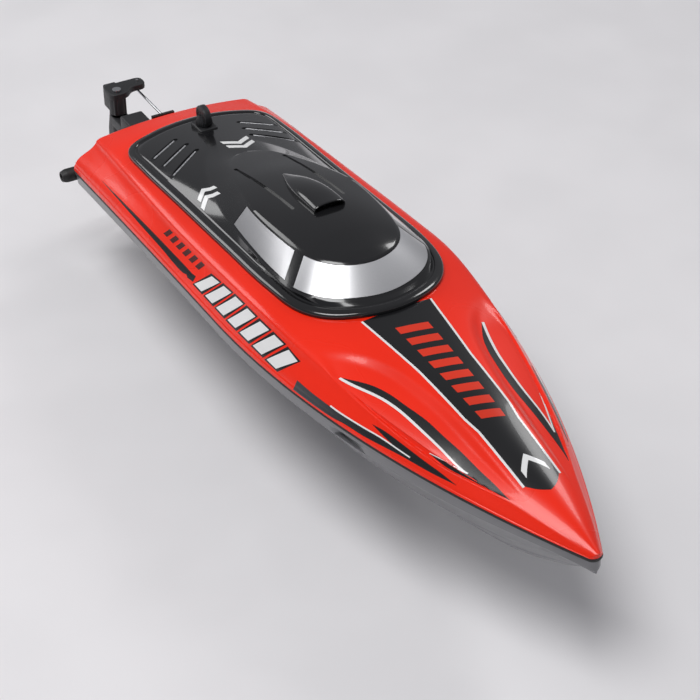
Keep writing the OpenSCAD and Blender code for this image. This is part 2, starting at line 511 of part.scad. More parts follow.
module shaft_strut() color([0.6, 0.61, 0.63]) in_frame() difference() {
    union() {
        translate([-2.5, -8, 8.5]) cube([2.5, 16, 14]);
        on_shaft(prop_x) translate([0, 0, 9]) cylinder(r = 4.6, h = 10);
        translate([-15, -1.6, -2.4]) cube([13, 3.2, 20]);
    }
    on_shaft(prop_x) cylinder(r = shaft_r + running, h = 30);
    on_shaft(prop_x) translate([0, 0, 19.3]) cylinder(r = tube_r + 0.3, h = 30);
    for (y = [-5, 5], z = [12, 19]) translate([-4, y, z]) rotate([0, 90, 0]) cylinder(r = 1, h = 6);
}
module strut_screws() color([0.6, 0.6, 0.62]) in_frame() for (y = [-5, 5], z = [12, 19])
    translate([-2.5, y, z]) rotate([0, -90, 0]) bolt(1, 7, 2, 1.2);
module on_motor() { on_shaft(prop_x) translate([0, 0, 160]) children(); }
module motor_can() color([0.7, 0.71, 0.73]) in_frame() on_motor() difference() {
    union() {
        cylinder(r = motor_r, h = 48);
        translate([0, 0, -3.5]) cylinder(r = 4.5, h = 4);
    }
    translate([0, 0, -5]) cylinder(r = 1.6 + running, h = 52);
    for (y = [-8, 8]) translate([0, y, -1]) cylinder(r = 1.3, h = 7);
}
module motor_mount() color([0.55, 0.56, 0.58]) in_frame() on_motor() difference() {
    translate([0, 0, -2.6]) rotate([0, 0, -90]) linear_extrude(2.5)
        polygon([[-6.5, -16.9], [6.5, -16.9], [20, -10.4], [20, 16], [-20, 16], [-20, -10.4]]);
    translate([0, 0, -5]) cylinder(r = 4.7, h = 8);
    for (y = [-8, 8]) translate([0, y, -5]) cylinder(r = 1.3, h = 8);
}
module motor_screws() color([0.3, 0.3, 0.32]) in_frame() on_motor() for (y = [-8, 8])
    translate([0, y, -2.6]) mirror([0, 0, 1]) bolt(1.3, 7, 2.3, 1.6);
module cooling_jacket() color([0.1, 0.25, 0.6]) in_frame() on_motor() difference() {
    union() {
        translate([0, 0, 14]) cylinder(r = motor_r + 1.6, h = 22);
        for (p = [[18, 1], [32, -1]]) translate([-motor_r, p[1] * 6, p[0]]) rotate([0, -90, 0])
            cylinder(r = 2, h = 7);
    }
    translate([0, 0, 10]) cylinder(r = motor_r, h = 40);
    for (p = [[18, 1], [32, -1]]) translate([-motor_r - 1, p[1] * 6, p[0]]) rotate([0, -90, 0])
        cylinder(r = 1.1, h = 7);
}

// ---- hoses and leads: round tubes along smooth routes ----
function route_at(p, u) = let (n = len(p) - 1, i = min(floor(u), n - 1), t = u - i,
    a = p[max(i - 1, 0)], b = p[i], c = p[i + 1], d = p[min(i + 2, n)])
    0.5 * (2 * b + (c - a) * t + (2 * a - 5 * b + 4 * c - d) * t ^ 2 + (3 * b - a - 3 * c + d) * t ^ 3);
function route(p, steps) = [for (k = [0 : (len(p) - 1) * steps]) route_at(p, k / steps)];
module tube(points, r, sides = 10) {
    n = len(points);
    dir = [for (i = [0 : n - 1]) let (v = points[min(i + 1, n - 1)] - points[max(i - 1, 0)]) v / norm(v)];
    rings = [for (i = [0 : n - 1]) let (s = cross([0.13, 0.21, 0.97], dir[i]), a = s / norm(s),
        b = cross(dir[i], a))
        [for (k = [0 : sides - 1]) points[i] + r * (cos(360 * k / sides) * a + sin(360 * k / sides) * b)]];
    faces = [for (i = [0 : n - 2]) for (k = [0 : sides - 1]) let (a = i * sides + k,
        b = i * sides + (k + 1) % sides)
        each [[a, a + sides, b], [b, a + sides, b + sides]]];
    polyhedron([for (q = rings) each q], concat(faces, [[for (k = [0 : sides - 1]) k]],
        [[for (k = [sides - 1 : -1 : 0]) (n - 1) * sides + k]]), convexity = 8);
}
HOSE_IN = [[35, 15, 17.7], [35, 15, 26], [48, 16, 34], [80, 12, 42], [120, 8, 49], [142, 6, 52], [146.2,
    6, 47], [146.9, 6, 42.1]];
HOSE_OUT = [[160.8, -6, 44.1], [160, -6.2, 49], [154, -8, 53], [136, -14, 52], [100, -36, 46], [60, -44,
    42], [25, -50, 40],
    [8.6, -52, 40]];
LEAD = [[199.8, 9, 30], [194, 9, 31], [188, 20, 33], [170, 30, 34], [150, 33, 34], [131, 32, 33], [125.2,
    31, 33]];
module cooling_hose_in() color([0.8, 0.82, 0.84]) in_frame() tube(route(HOSE_IN, 6), 2.2);
module cooling_hose_out() color([0.8, 0.82, 0.84]) in_frame() tube(route(HOSE_OUT, 6), 2.2);
module battery_lead() color([0.75, 0.1, 0.08]) in_frame() tube(route(LEAD, 6), 1.6);
module water_pickup() color([0.7, 0.71, 0.73]) in_frame() difference() {
    union() {
        translate([35, 15, 0.5]) cylinder(r = 2, h = 17);
        translate([35, 15, 8.8]) cylinder(r = 3.6, h = 1.4);
        translate([35, 15, 0.5]) sphere(r = 2);
    }
    translate([35, 15, 3]) cylinder(r = 1.1, h = 16);
    translate([34.9, 15, 1.6]) rotate([0, 90, 0]) cylinder(r = 1, h = 5);
    translate([35, 15, 1]) cylinder(r = 1, h = 3);
}
module water_contacts() color([0.75, 0.75, 0.77]) in_frame() for (y = [-15, 15]) translate([22, y, 5.2]) {
    translate([0, 0, -3]) cylinder(r = 1.5, h = 12);
    translate([0, 0, -3.6]) cylinder(r = 2.6, h = 1.6);
}
module cooling_outlet() color([0.08, 0.08, 0.08]) in_frame() difference() {
    union() {
        translate([-5, outlet_y + 3, outlet_z]) rotate([90, 0, 0]) cylinder(r = 4, h = 19);
        translate([-5, outlet_y - 16, outlet_z]) rotate([90, 0, 0]) cylinder(r1 = 4, r2 = 2.9, h = 2);
        translate([-3, outlet_y, outlet_z]) rotate([0, 90, 0]) cylinder(r = 3, h = 11.5);
        translate([-3, outlet_y, outlet_z]) rotate([0, 90, 0]) cylinder(r = 5, h = 2.9);
    }
    translate([-5, outlet_y, outlet_z]) rotate([90, 0, 0]) cylinder(r = 2, h = 20);
    translate([-5, outlet_y, outlet_z]) rotate([0, 90, 0]) cylinder(r = 1.5, h = 16);
}

// ---- power ----
battery_x = 200;
module battery_tray() color([0.14, 0.14, 0.15]) in_frame() {
    translate([battery_x - 3, -20.5, 13.2]) cube([91, 41, 2]);
    translate([battery_x - 3, -20.5, 15.1]) cube([2.6, 41, 8]);
    translate([battery_x + 85.4, -20.5, 15.1]) cube([2.6, 41, 8]);
    for (s = [-1, 1]) {
        translate([battery_x, s * 10 - 2, 3.6]) cube([14, 4, 9.8]);
        translate([battery_x + 70, s * 10 - 2, 5.6]) cube([14, 4, 7.8]);
    }
}
module battery_pack() color([0.08, 0.28, 0.6]) in_frame() translate([battery_x, -20, 15.2]) cube([84, 40,
    21]);
module battery_strap() color([0.05, 0.05, 0.05]) in_frame() translate([battery_x + 30, 0, 0]) difference() {
    translate([0, -21.7, 12.3]) cube([20, 43.4, 25.2]);
    translate([-1, -20.6, 13.1]) cube([22, 41.2, 23.2]);
}
module board_tray() color([0.5, 0.34, 0.18]) in_frame() translate([78, 0, 0]) rotate([90, 0, 90])
    linear_extrude(46)
    polygon([[17, 6.9], [40, 18.8], [40, 24], [17, 24]]);
module board_case() color([0.12, 0.12, 0.13]) in_frame() translate([80, 18, 24]) difference() {
    cube([45, 22, 15]);
    translate([1.5, 1.5, 1.5]) cube([42, 19, 20]);
    translate([40, 13, 9]) rotate([0, 90, 0]) cylinder(r = 1.6, h = 8);
}
module board_lid() color([0.16, 0.16, 0.17]) in_frame() translate([80, 18, 39]) {
    cube([45, 22, 1.6]);
    translate([1.8, 1.8, -1.5]) difference() {
        cube([41.4, 18.4, 1.6]);
        translate([1.2, 1.2, -1]) cube([39, 16, 4]);
    }
}
module control_board() color([0.05, 0.35, 0.16]) in_frame() translate([82, 20, 27]) {
    cube([40, 18, 1.6]);
    translate([5, 4, 1.5]) cube([9, 9, 1.8]);
    translate([20, 3, 1.5]) cube([14, 6, 4]);
    translate([31, 13, 1.5]) cylinder(r = 2.6, h = 6);
}
module power_switch_body() color([0.05, 0.05, 0.05]) in_frame() translate([84, 24, 40.6]) difference() {
    cube([14, 8, 5]);
    translate([3.2, 2, 1.5]) cube([7.6, 4, 4]);
}
module power_button() color([0.75, 0.1, 0.08]) in_frame() translate([87.4, 26.2, 42.4]) {
    cube([4.2, 3.6, 4]);
    translate([1, 0, 3.9]) cube([2.2, 3.6, 1.2]);
}
module bow_foam() color([0.9, 0.9, 0.88]) in_frame() translate([325, 0, 0]) rotate([90, 0, 90])
    linear_extrude(30)
    polygon([[-2.5, 19.5], [2.5, 19.5], [12, 38], [12, 52], [-12, 52], [-12, 38]]);

lower_hull();
deck_shell();
seam_gasket();
hatch_seal();
canopy_shell();
windscreen();
side_window_port();
side_window_starboard();
air_scoop();
scoop_grille();
latch_base();
latch_knob();
latch_tongue();
latch_screw();
latch_keeper();
rudder_blade();
rudder_pin();
rudder_bracket();
rudder_bracket_screws();
steering_rod();
rod_boot();
servo_arm();
servo_arm_screw();
servo_case();
servo_screws();
servo_tray();
propeller();
drive_shaft();
propeller_nut();
shaft_coupler();
stuffing_tube();
shaft_strut();
strut_screws();
motor_can();
motor_shaft();
motor_mount();
motor_screws();
cooling_jacket();
cooling_hose_in();
cooling_hose_out();
cooling_outlet();
water_pickup();
water_contacts();
battery_pack();
battery_tray();
battery_strap();
battery_lead();
board_case();
board_lid();
control_board();
board_tray();
power_switch_body();
power_button();
bow_foam();
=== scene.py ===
"""Looks of a radio-controlled racing boat: painted shells, graphics, canopy, steering, drive and studio.

Lengths in the form tables are millimetres. Stations run forward from the transom, +Y is port and +Z is up.
Every mesh is written in metres, in the frame whose origin is the centre of the flat keel pad.
"""

from __future__ import annotations

import json
import logging
import math
from dataclasses import dataclass, field
from enum import Enum
from typing import Any, Callable, Iterable, Sequence

import bmesh
import bpy
from mathutils import Matrix, Vector

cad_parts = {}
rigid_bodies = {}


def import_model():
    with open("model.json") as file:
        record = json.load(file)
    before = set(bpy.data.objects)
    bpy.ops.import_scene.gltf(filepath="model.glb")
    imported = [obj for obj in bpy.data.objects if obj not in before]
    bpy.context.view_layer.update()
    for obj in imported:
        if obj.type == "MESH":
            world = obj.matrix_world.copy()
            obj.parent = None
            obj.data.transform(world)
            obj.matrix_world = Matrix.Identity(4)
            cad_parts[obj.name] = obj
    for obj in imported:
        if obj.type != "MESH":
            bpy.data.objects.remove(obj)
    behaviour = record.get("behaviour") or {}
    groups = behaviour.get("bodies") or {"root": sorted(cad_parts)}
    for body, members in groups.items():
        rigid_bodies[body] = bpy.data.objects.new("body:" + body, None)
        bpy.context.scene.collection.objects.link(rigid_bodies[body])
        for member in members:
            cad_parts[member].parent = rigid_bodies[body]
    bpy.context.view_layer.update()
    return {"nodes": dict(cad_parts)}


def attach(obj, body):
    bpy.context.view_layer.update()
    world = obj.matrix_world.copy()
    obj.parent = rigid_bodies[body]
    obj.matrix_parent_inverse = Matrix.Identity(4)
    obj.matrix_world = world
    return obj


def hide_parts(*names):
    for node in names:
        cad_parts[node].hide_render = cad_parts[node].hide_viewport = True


log = logging.getLogger("rc_boat")

Table = Sequence[tuple[float, ...]]
Point = tuple[float, float, float]

ORIGIN_X = 145.0
MM = 0.001


def place(point: Sequence[float]) -> Vector:
    """Return a point of the form tables, in millimetres, as metres in the part's frame."""
    return Vector(((point[0] - ORIGIN_X) * MM, point[1] * MM, point[2] * MM))


def lerp(a: float, b: float, t: float) -> float:
    """Return the value at t between a and b."""
    return a + (b - a) * t


def clamp(value: float, low: float, high: float) -> float:
    """Return value, held between low and high."""
    return min(max(value, low), high)


def smooth(t: float) -> float:
    """Return a smooth step from 0 to 1."""
    c = clamp(t, 0.0, 1.0)
    return c * c * (3 - 2 * c)


def look(table: Table, x: float, column: int) -> float:
    """Read one column of a table as a smooth curve.

    Args:
        table: rows that start with their station.
        x: the station asked for.
        column: which column to read.

    Returns:
        The value of the curve at x.
    """
    last = len(table) - 1
    i = max([k for k in range(last) if x >= table[k][0]], default=0)
    width = table[i + 1][0] - table[i][0]
    t = clamp((x - table[i][0]) / width, 0.0, 1.0)

    def slope(k: int) -> float:
        """Return the curve's slope at row k."""
        low, high = max(k - 1, 0), min(k + 1, last)
        return (table[high][column] - table[low][column]) / (table[high][0] - table[low][0])

    a, b = slope(i) * width, slope(i + 1) * width
    return (
        (2 * t**3 - 3 * t**2 + 1) * table[i][column]
        + (t**3 - 2 * t**2 + t) * a
        + (3 * t**2 - 2 * t**3) * table[i + 1][column]
        + (t**3 - t**2) * b
    )


def straight(table: Table, x: float) -> float:
    """Return the second column of a table at x, with straight lines between its rows.

    Args:
        table: rows of a station and a value.
        x: the station, in millimetres from the transom.

    Returns:
        The value at x.
    """
    for (x0, v0), (x1, v1) in zip(table, table[1:]):
        if x <= x1:
            return lerp(v0, v1, clamp((x - x0) / (x1 - x0), 0.0, 1.0))
    return table[-1][1]


# --------------------------------------------------------------------------- hull form


@dataclass(frozen=True)
class HullForm:
    """The hull's and deck's lines."""

    length: float = 420.0
    half_beam: float = 65.0
    shoulder: float = 185.0
    nose: float = 5.0
    seam_stern: float = 45.0
    gasket: float = 2.0
    pad: float = 6.0
    wall: float = 2.0
    edge_radius: float = 1.6
    deck_lines: Table = (
        (0, 65.4, 48.5, 61.8), (25, 71.5, 50.5, 65), (60, 75.5, 52.5, 67.8), (120, 80, 54.5, 70.8),
        (180, 83, 55, 75), (215, 83.5, 54.5, 77), (250, 81.5, 51, 75), (290, 79, 44, 71.5),
        (330, 75, 33.5, 67.5), (370, 68.3, 20.5, 62.5), (400, 62, 10, 58.5), (420, 56.5, 2.2, 54.8),
    )
    keel_line: Table = (
        (0, 1), (42, 1), (50, 0), (240, 0), (290, 2.5), (330, 9), (370, 21), (400, 35), (420, 49),
    )
    panel_lines: Table = (
        (252, 0.49, 0.5, 0.505), (261, 0.41, 0.465, 0.51), (267, 0.345, 0.415, 0.52), (277, 0.28, 0.355, 0.55),
        (291, 0.235, 0.305, 0.58), (307, 0.21, 0.29, 0.615), (324, 0.2, 0.285, 0.65), (344, 0.22, 0.305, 0.67),
        (362, 0.27, 0.335, 0.6), (387, 0.375, 0.385, 0.46), (420, 0.4, 0.41, 0.45),
    )
    panel_depth: float = 2.1

    def breadth(self, x: float) -> float:
        """Return the half breadth of the seam at station x.

        Args:
            x: the station, in millimetres from the transom.

        Returns:
            The half breadth, in millimetres.
        """
        if x < self.shoulder:
            return self.half_beam - 1.2 * ((self.shoulder - x) / self.shoulder) ** 2
        side = self.half_beam * (1 - ((x - self.shoulder) / (self.length + 5 - self.shoulder)) ** 2)
        if x <= self.length - self.nose:
            return side
        return min(side, math.sqrt(max(self.nose**2 - (x - self.length + self.nose) ** 2, 0.36)))

    def seam(self, x: float) -> float:
        """Return the seam's height at station x."""
        t = x / self.length
        return self.seam_stern + 32 * t - 24 * t * t

    def crown(self, x: float, y: float) -> float:
        """Return the height of the deck's crown at a point of the plan."""
        centre, edge, low = (look(self.deck_lines, x, c) for c in (1, 2, 3))
        return centre - (centre - low) * (abs(y) / edge) ** 2

    def side(self, x: float, t: float) -> tuple[float, float]:
        """Return a point of the deck's side, from the shoulder crease (t = 0) to the seam (t = 1).

        Args:
            x: the station, in millimetres from the transom.
            t: the share of the way down, 0 at the crease and 1 at the seam.

        Returns:
            The offset across and the height.
        """
        b, base = self.breadth(x), self.seam(x) + self.gasket / 2
        edge, top = min(look(self.deck_lines, x, 2), b - 0.2), look(self.deck_lines, x, 3)
        h, k = top - base, 1 - smooth(x / 150)
        ys = (edge, edge + min(2.0, (b - edge) * 0.3), b - (1 - k) * min(1.0, b / 20), b)
        zs = (top, top - h * (0.35 + 0.17 * k), base + h * (0.34 + 0.31 * k), base)
        w = ((1 - t) ** 3, 3 * (1 - t) ** 2 * t, 3 * (1 - t) * t * t, t**3)
        return sum(a * c for a, c in zip(w, ys)), sum(a * c for a, c in zip(w, zs))

    def plain_deck(self, x: float, s: float) -> Point:
        """Return the deck's surface without its sculpting; s is 0 at the centre and 1 at the port seam.

        Args:
            x: the station, in millimetres from the transom.
            s: the share of the way across.

        Returns:
            The point, in millimetres.
        """
        a, sign = abs(s), -1.0 if s < 0 else 1.0
        if a <= 0.5:
            y = min(look(self.deck_lines, x, 2), self.breadth(x) - 0.2) * a * 2
            return (x, sign * y, self.crown(x, y))
        y, z = self.side(x, a * 2 - 1)
        return (x, sign * y, z)

    def deck(self, x: float, s: float) -> Point:
        """Return the sculpted deck surface: the sunk foredeck panels, soft shoulder and lip above the seam.

        Args:
            x: the station, in millimetres from the transom.
            s: 0 at the centre and 1 at the port seam.

        Returns:
            The point, in millimetres.
        """
        a, sign = min(abs(s), 1.0), -1.0 if s < 0 else 1.0
        soft = 0.035
        if abs(a - 0.5) < soft:
            u = (a - 0.5 + soft) / (2 * soft)
            p, q, r = (self.plain_deck(x, v) for v in (0.5 - soft, 0.5, 0.5 + soft))
            w = ((1 - u) ** 2, 2 * u * (1 - u), u * u)
            y, z = (w[0] * p[i] + w[1] * q[i] + w[2] * r[i] for i in (1, 2))
        else:
            _, y, z = self.plain_deck(x, a)
        if x > 250:
            high, low, crease = (look(self.panel_lines, x, c) for c in (1, 2, 3))
            depth = self.panel_depth * smooth((x - 254) / 26) * (1 - smooth((x - 345) / 42))
            step = smooth((a - high) / max(low - high, 0.012)) * (1 - smooth((a - crease + 0.075) / 0.075))
            z -= depth * step
            if a > 0.5:
                y -= depth * 0.4 * step
        lip = smooth((a - 0.935) / 0.02)
        y += 0.28 * lip * min(1.0, self.breadth(x) / 12)
        tuck = self.tuck(x)
        scale = 1 - tuck / 60
        base = self.seam(x)
        return (x, sign * y * scale, base + (z - base) * (1 - tuck / 20))

    def tuck(self, x: float) -> float:
        """Return how far the section draws in at the rounded edge of the transom."""
        r = self.edge_radius
        return 0.0 if x >= r else r - math.sqrt(max(r * r - (r - x) ** 2, 0.0))

    def chine(self, x: float) -> tuple[float, float]:
        """Return the chine's offset and height at station x.

        Args:
            x: the station, in millimetres from the transom.

        Returns:
            The offset across and the height.
        """
        b = self.breadth(x)
        y = max(b - 9.5 * (1 - 0.3 * smooth((x - 330) / 90)), 0.45 * b)
        return y, min(25 + 22 * (x / self.length) ** 3.2, self.seam(x) - 5)

    def bottom(self, x: float, q: float) -> Point:
        """Return the hull's surface; q is 0 on the keel, 0.4 at the knuckle, 0.6 at the side strip, 1 at the seam.

        Args:
            x: the station, in millimetres from the transom.
            q: the share of the way round the section.

        Returns:
            The point, in millimetres.
        """
        a, sign = abs(q), -1.0 if q < 0 else 1.0
        (cy, cz), b = self.chine(x), self.breadth(x)
        keel = 0.0 if 50 <= x <= 240 else min(look(self.keel_line, x, 1), cz - 2)
        pad, top = min(self.pad, 0.3 * cy), self.seam(x) - self.gasket / 2
        y1 = min(0.62 * b, 0.8 * cy)
        t1 = (y1 - pad) / (cy - pad)
        z1 = lerp(keel, cz, t1) - 0.8 * (1 - abs(2 * t1 - 1))
        foot, edge = top - 8 + 3 * smooth((x - 330) / 90), b - min(2.0, 0.15 * b)
        side = edge + 0.6 * min(1.0, edge / 10)
        if a <= 0.06:
            y, z = pad * a / 0.06, keel
        elif a <= 0.4:
            t = (a - 0.06) / 0.34
            y, z = lerp(pad, y1, t), lerp(keel, z1, t) - 2.0 * t * (1 - t)
            for at in (0.45, 0.86):
                fade = smooth((x - 20) / 40) * (1 - smooth((x - (395 - 60 * at)) / 50))
                z -= 1.0 * fade * smooth((t - at + 0.09) / 0.08) * (1 - smooth((t - at) / 0.012))
        elif a <= 0.6:
            t = (a - 0.4) / 0.2
            y, z = lerp(y1, edge, t), lerp(z1, foot, t)
        elif a <= 0.64:
            t = (a - 0.6) / 0.04
            y, z = lerp(edge, side, t), foot + 0.8 * t
        else:
            t = (a - 0.64) / 0.36
            y, z = lerp(side, b - 0.6 * min(1.0, b / 4), t), lerp(foot + 0.8, top, t)
            y += 0.45 * smooth((t - 0.86) / 0.05) * min(1.0, b / 12)
            notch = smooth((x - 284) / 3) * (1 - smooth((x - 300) / 5)) * smooth((0.62 - t) / 0.1)
            y -= 3.0 * notch * (1 - (x - 284) / 26)
        tuck = self.tuck(x)
        return (x, sign * y * (1 - tuck / 60), self.seam(x) + (z - self.seam(x)) * (1 - tuck / 45))


FORM = HullForm()


def half_steps(count: int, breaks: Iterable[float] = ()) -> list[float]:
    """Return sorted values from -1 to 1 with extra ones at each break, for a mirrored section."""
    half = {round(k / count, 5) for k in range(count + 1)} | {round(b, 5) for b in breaks}
    return sorted({-v for v in half} | half)


def hull_stations() -> list[float]:
    """Return the stations of the shells, close together at both ends.

    Returns:
        The stations, from the transom forward.
    """
    rear = [0.0, 0.15, 0.4, 0.8, 1.2, 1.7, 3.0, 5.0]
    middle = [float(x) for x in range(8, 412, 3)]
    return rear + middle + [413.0, 415.0, 416.5, 417.6, 418.5, 419.2, 419.7, 420.0]


# --------------------------------------------------------------------------- meshes


@dataclass
class Maker:
    """Makes, joins and finishes meshes at the frame's origin."""

    smooth_angle: float = math.radians(38)
    merge: float = 2e-6

    def mesh(self, name: str, points: Sequence[Vector], faces: Sequence[Sequence[int]]) -> bpy.types.Object:
        """Make an object from points in metres and faces.

        Args:
            name: the piece's name.
            points: its vertices.
            faces: its faces, as vertex numbers.

        Returns:
            The new object, with doubles merged and normals outward.
        """
        data = bpy.data.meshes.new(name)
        data.from_pydata([tuple(p) for p in points], [], [list(f) for f in faces])
        data.validate()
        bm = bmesh.new()
        bm.from_mesh(data)
        bmesh.ops.remove_doubles(bm, verts=bm.verts[:], dist=self.merge)
        bmesh.ops.recalc_face_normals(bm, faces=bm.faces[:])
        bm.to_mesh(data)
        bm.free()
        obj = bpy.data.objects.new(name, data)
        bpy.context.scene.collection.objects.link(obj)
        return obj

    def skin_faces(self, rows: int, cols: int) -> list[list[int]]:
        """Return the faces of two grids of points, one behind the other.

        Args:
            rows: the rows of each grid.
            cols: the points in a row.

        Returns:
            The faces, as point numbers.
        """
        n = rows * cols
        faces: list[list[int]] = []
        for a in (i * cols + j for i in range(rows - 1) for j in range(cols - 1)):
            faces.append([a, a + 1, a + cols + 1, a + cols])
            faces.append([n + a, n + a + cols, n + a + cols + 1, n + a + 1])
        return faces

    def ring_faces(self, n: int, m: int, spans: int) -> list[list[int]]:
        """Return the faces between closed rings.

        Args:
            n: the points in a ring.
            m: the number of rings.
            spans: m - 1 for a tube, or m where the last ring meets the first.

        Returns:
            The faces, as point numbers.
        """
        return [
            [i * n + j, i * n + (j + 1) % n, (i + 1) % m * n + (j + 1) % n, (i + 1) % m * n + j]
            for i in range(spans)
            for j in range(n)
        ]

    def shell(self, name: str, outer: list[list[Vector]], inner: list[list[Vector]]) -> bpy.types.Object:
        """Make a closed wall between an outer and an inner skin of open sections.

        Args:
            name: the piece's name.
            outer: sections of the outer skin, stern to bow.
            inner: the same number of points and sections inside it.

        Returns:
            The shell, capped at both ends.
        """
        rows, cols = len(outer), len(outer[0])
        n = rows * cols
        points = [p for row in outer for p in row] + [p for row in inner for p in row]
        faces = self.skin_faces(rows, cols)
        for i in range(rows - 1):
            for a in (i * cols, i * cols + cols - 1):
                faces.append([a, a + cols, n + a + cols, n + a])
        for i in (0, rows - 1):
            row = list(range(i * cols, (i + 1) * cols))
            faces += [row, [n + k for k in row], [row[0], row[-1], n + row[-1], n + row[0]]]
        return self.mesh(name, points, faces)

    def plate(self, name: str, outer: list[list[Vector]], inner: list[list[Vector]]) -> bpy.types.Object:
        """Make a closed plate from a grid of points on its face and one on its back.

        Args:
            name: the piece's name.
            outer: rows of points on its face.
            inner: the same rows on its back.

        Returns:
            The plate.
        """
        rows, cols = len(outer), len(outer[0])
        n = rows * cols
        points = [p for row in outer for p in row] + [p for row in inner for p in row]
        faces = self.skin_faces(rows, cols)
        edge = list(range(cols)) + [i * cols + cols - 1 for i in range(1, rows)]
        edge += [(rows - 1) * cols + j for j in range(cols - 2, -1, -1)] + [i * cols for i in range(rows - 2, 0, -1)]
        for a, b in zip(edge, edge[1:] + edge[:1]):
            faces.append([a, b, n + b, n + a])
        return self.mesh(name, points, faces)

    def loft(self, name: str, rings: list[list[Vector]], caps: bool = True) -> bpy.types.Object:
        """Make a solid skinned over closed rings of equal length.

        Args:
            name: the piece's name.
            rings: closed rings of equal length, in order.
            caps: whether the ends are closed.

        Returns:
            The solid.
        """
        n, m = len(rings[0]), len(rings)
        faces = self.ring_faces(n, m, m - 1)
        if caps:
            faces += [list(range(n)), [(m - 1) * n + j for j in range(n)]]
        return self.mesh(name, [p for ring in rings for p in ring], faces)

    def loop(self, name: str, rings: list[list[Vector]]) -> bpy.types.Object:
        """Make a closed hoop skinned over rings, the last joined to the first.

        Args:
            name: the piece's name.
            rings: closed rings of equal length, in order.

        Returns:
            The hoop.
        """
        n, m = len(rings[0]), len(rings)
        return self.mesh(name, [p for ring in rings for p in ring], self.ring_faces(n, m, m))

    def only(self, obj: bpy.types.Object) -> None:
        """Make obj the one selected and active object.

        Args:
            obj: the object to select.
        """
        for other in bpy.context.view_layer.objects:
            other.select_set(False)
        obj.select_set(True)
        bpy.context.view_layer.objects.active = obj

    def apply(self, obj: bpy.types.Object, kind: str, **settings: Any) -> None:
        """Add a modifier with these settings and apply it.

        Args:
            obj: the object that takes the modifier.
            kind: the modifier's type.
            **settings: the modifier's own settings.
        """
        self.only(obj)
        modifier = obj.modifiers.new(kind.title(), kind)
        for key, value in settings.items():
            setattr(modifier, key, value)
        bpy.ops.object.modifier_apply(modifier=modifier.name)

    def cut(self, obj: bpy.types.Object, cutter: bpy.types.Object) -> None:
        """Take the cutter's volume out of obj, and delete the cutter."""
        self.apply(obj, "BOOLEAN", operation="DIFFERENCE", solver="EXACT", object=cutter)
        bpy.data.objects.remove(cutter, do_unlink=True)

    def join(self, name: str, pieces: Sequence[bpy.types.Object]) -> bpy.types.Object:
        """Join loose solids into one piece.

        Args:
            name: the piece's name.
            pieces: the loose solids.

        Returns:
            The joined piece.
        """
        self.only(pieces[0])
        for piece in pieces:
            piece.select_set(True)
        bpy.ops.object.join()
        pieces[0].name = name
        return pieces[0]

    def block(self, name: str, low: Point, high: Point, bevel: float = 0.0, segments: int = 3) -> bpy.types.Object:
        """Add a box between two corners, in millimetres, with rounded edges.

        Args:
            name: the piece's name.
            low: its lowest corner.
            high: its highest corner.
            bevel: the radius of its edges, in millimetres.
            segments: the faces round an edge.

        Returns:
            The box.
        """
        bpy.ops.object.select_all(action="DESELECT")
        a, b = place(low), place(high)
        bpy.ops.mesh.primitive_cube_add(size=1, location=(a + b) / 2, scale=b - a)
        obj = self.settle(name)
        if bevel:
            self.apply(obj, "BEVEL", width=bevel * MM, segments=segments, limit_method="ANGLE")
        return obj

    def barrel(
        self, name: str, centre: Point, axis: Sequence[float], rings: Table, sides: int = 48
    ) -> bpy.types.Object:
        """Add a turned solid.

        Args:
            name: the piece's name.
            centre: where its axis starts, in millimetres.
            axis: the direction of its axis.
            rings: pairs of distance along the axis and radius, in millimetres.
            sides: points round it.

        Returns:
            The solid, capped at both ends.
        """
        way = Vector(axis).normalized()
        turn = way.to_track_quat("Z", "Y")
        base = place(centre)
        return self.loft(
            name,
            [
                [
                    base + turn @ Vector((r * MM * math.cos(a), r * MM * math.sin(a), z * MM))
                    for a in (math.tau * k / sides for k in range(sides))
                ]
                for z, r in rings
            ],
        )

    def slab(
        self, name: str, outline: Sequence[tuple[float, float]], low: float, high: float, across: str = "Y"
    ) -> bpy.types.Object:
        """Extrude an outline in millimetres; across Y it holds X and Z, and across Z it holds X and Y.

        Args:
            name: the piece's name.
            outline: the corners of its outline.
            low: where it begins along the third axis.
            high: where it ends along that axis.
            across: the third axis, Y or Z.

        Returns:
            The slab.
        """
        flip = across == "Y"
        pts = [place((u, w, v) if flip else (u, v, w)) for w in (low, high) for u, v in outline]
        n = len(outline)
        faces = [[k, (k + 1) % n, n + (k + 1) % n, n + k] for k in range(n)]
        return self.mesh(name, pts, faces + [list(range(n)), [n + k for k in range(n)]])

    def settle(self, name: str) -> bpy.types.Object:
        """Name the active object and apply its place, so that the object sits at the origin.

        Args:
            name: the object's new name.

        Returns:
            The object.
        """
        obj = bpy.context.active_object
        obj.name = obj.data.name = name
        self.only(obj)
        bpy.ops.object.transform_apply(location=True, rotation=True, scale=True)
        return obj

    def finish(
        self,
        obj: bpy.types.Object,
        finish: "Finish",
        body: str,
        slot: str,
        replaces: Sequence[str] = (),
    ) -> bpy.types.Object:
        """Shade a piece, give it its finish and put it on its body.

        Args:
            obj: the piece.
            finish: its finish.
            body: the body it rides on.
            slot: the record's material slot. Not used.
            replaces: the CAD nodes it stands for.

        Returns:
            The same piece.
        """
        obj.name = obj.data.name = obj.name.replace(" ", "_")
        self.only(obj)
        bpy.ops.object.shade_smooth_by_angle(angle=self.smooth_angle)
        obj.data.materials.clear()
        obj.data.materials.append(finish.material())
        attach(obj, body)
        if replaces:
            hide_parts(*replaces)
        log.info("%s rides on %s", obj.name, body)
        return obj


MAKER = Maker()


# --------------------------------------------------------------------------- finishes


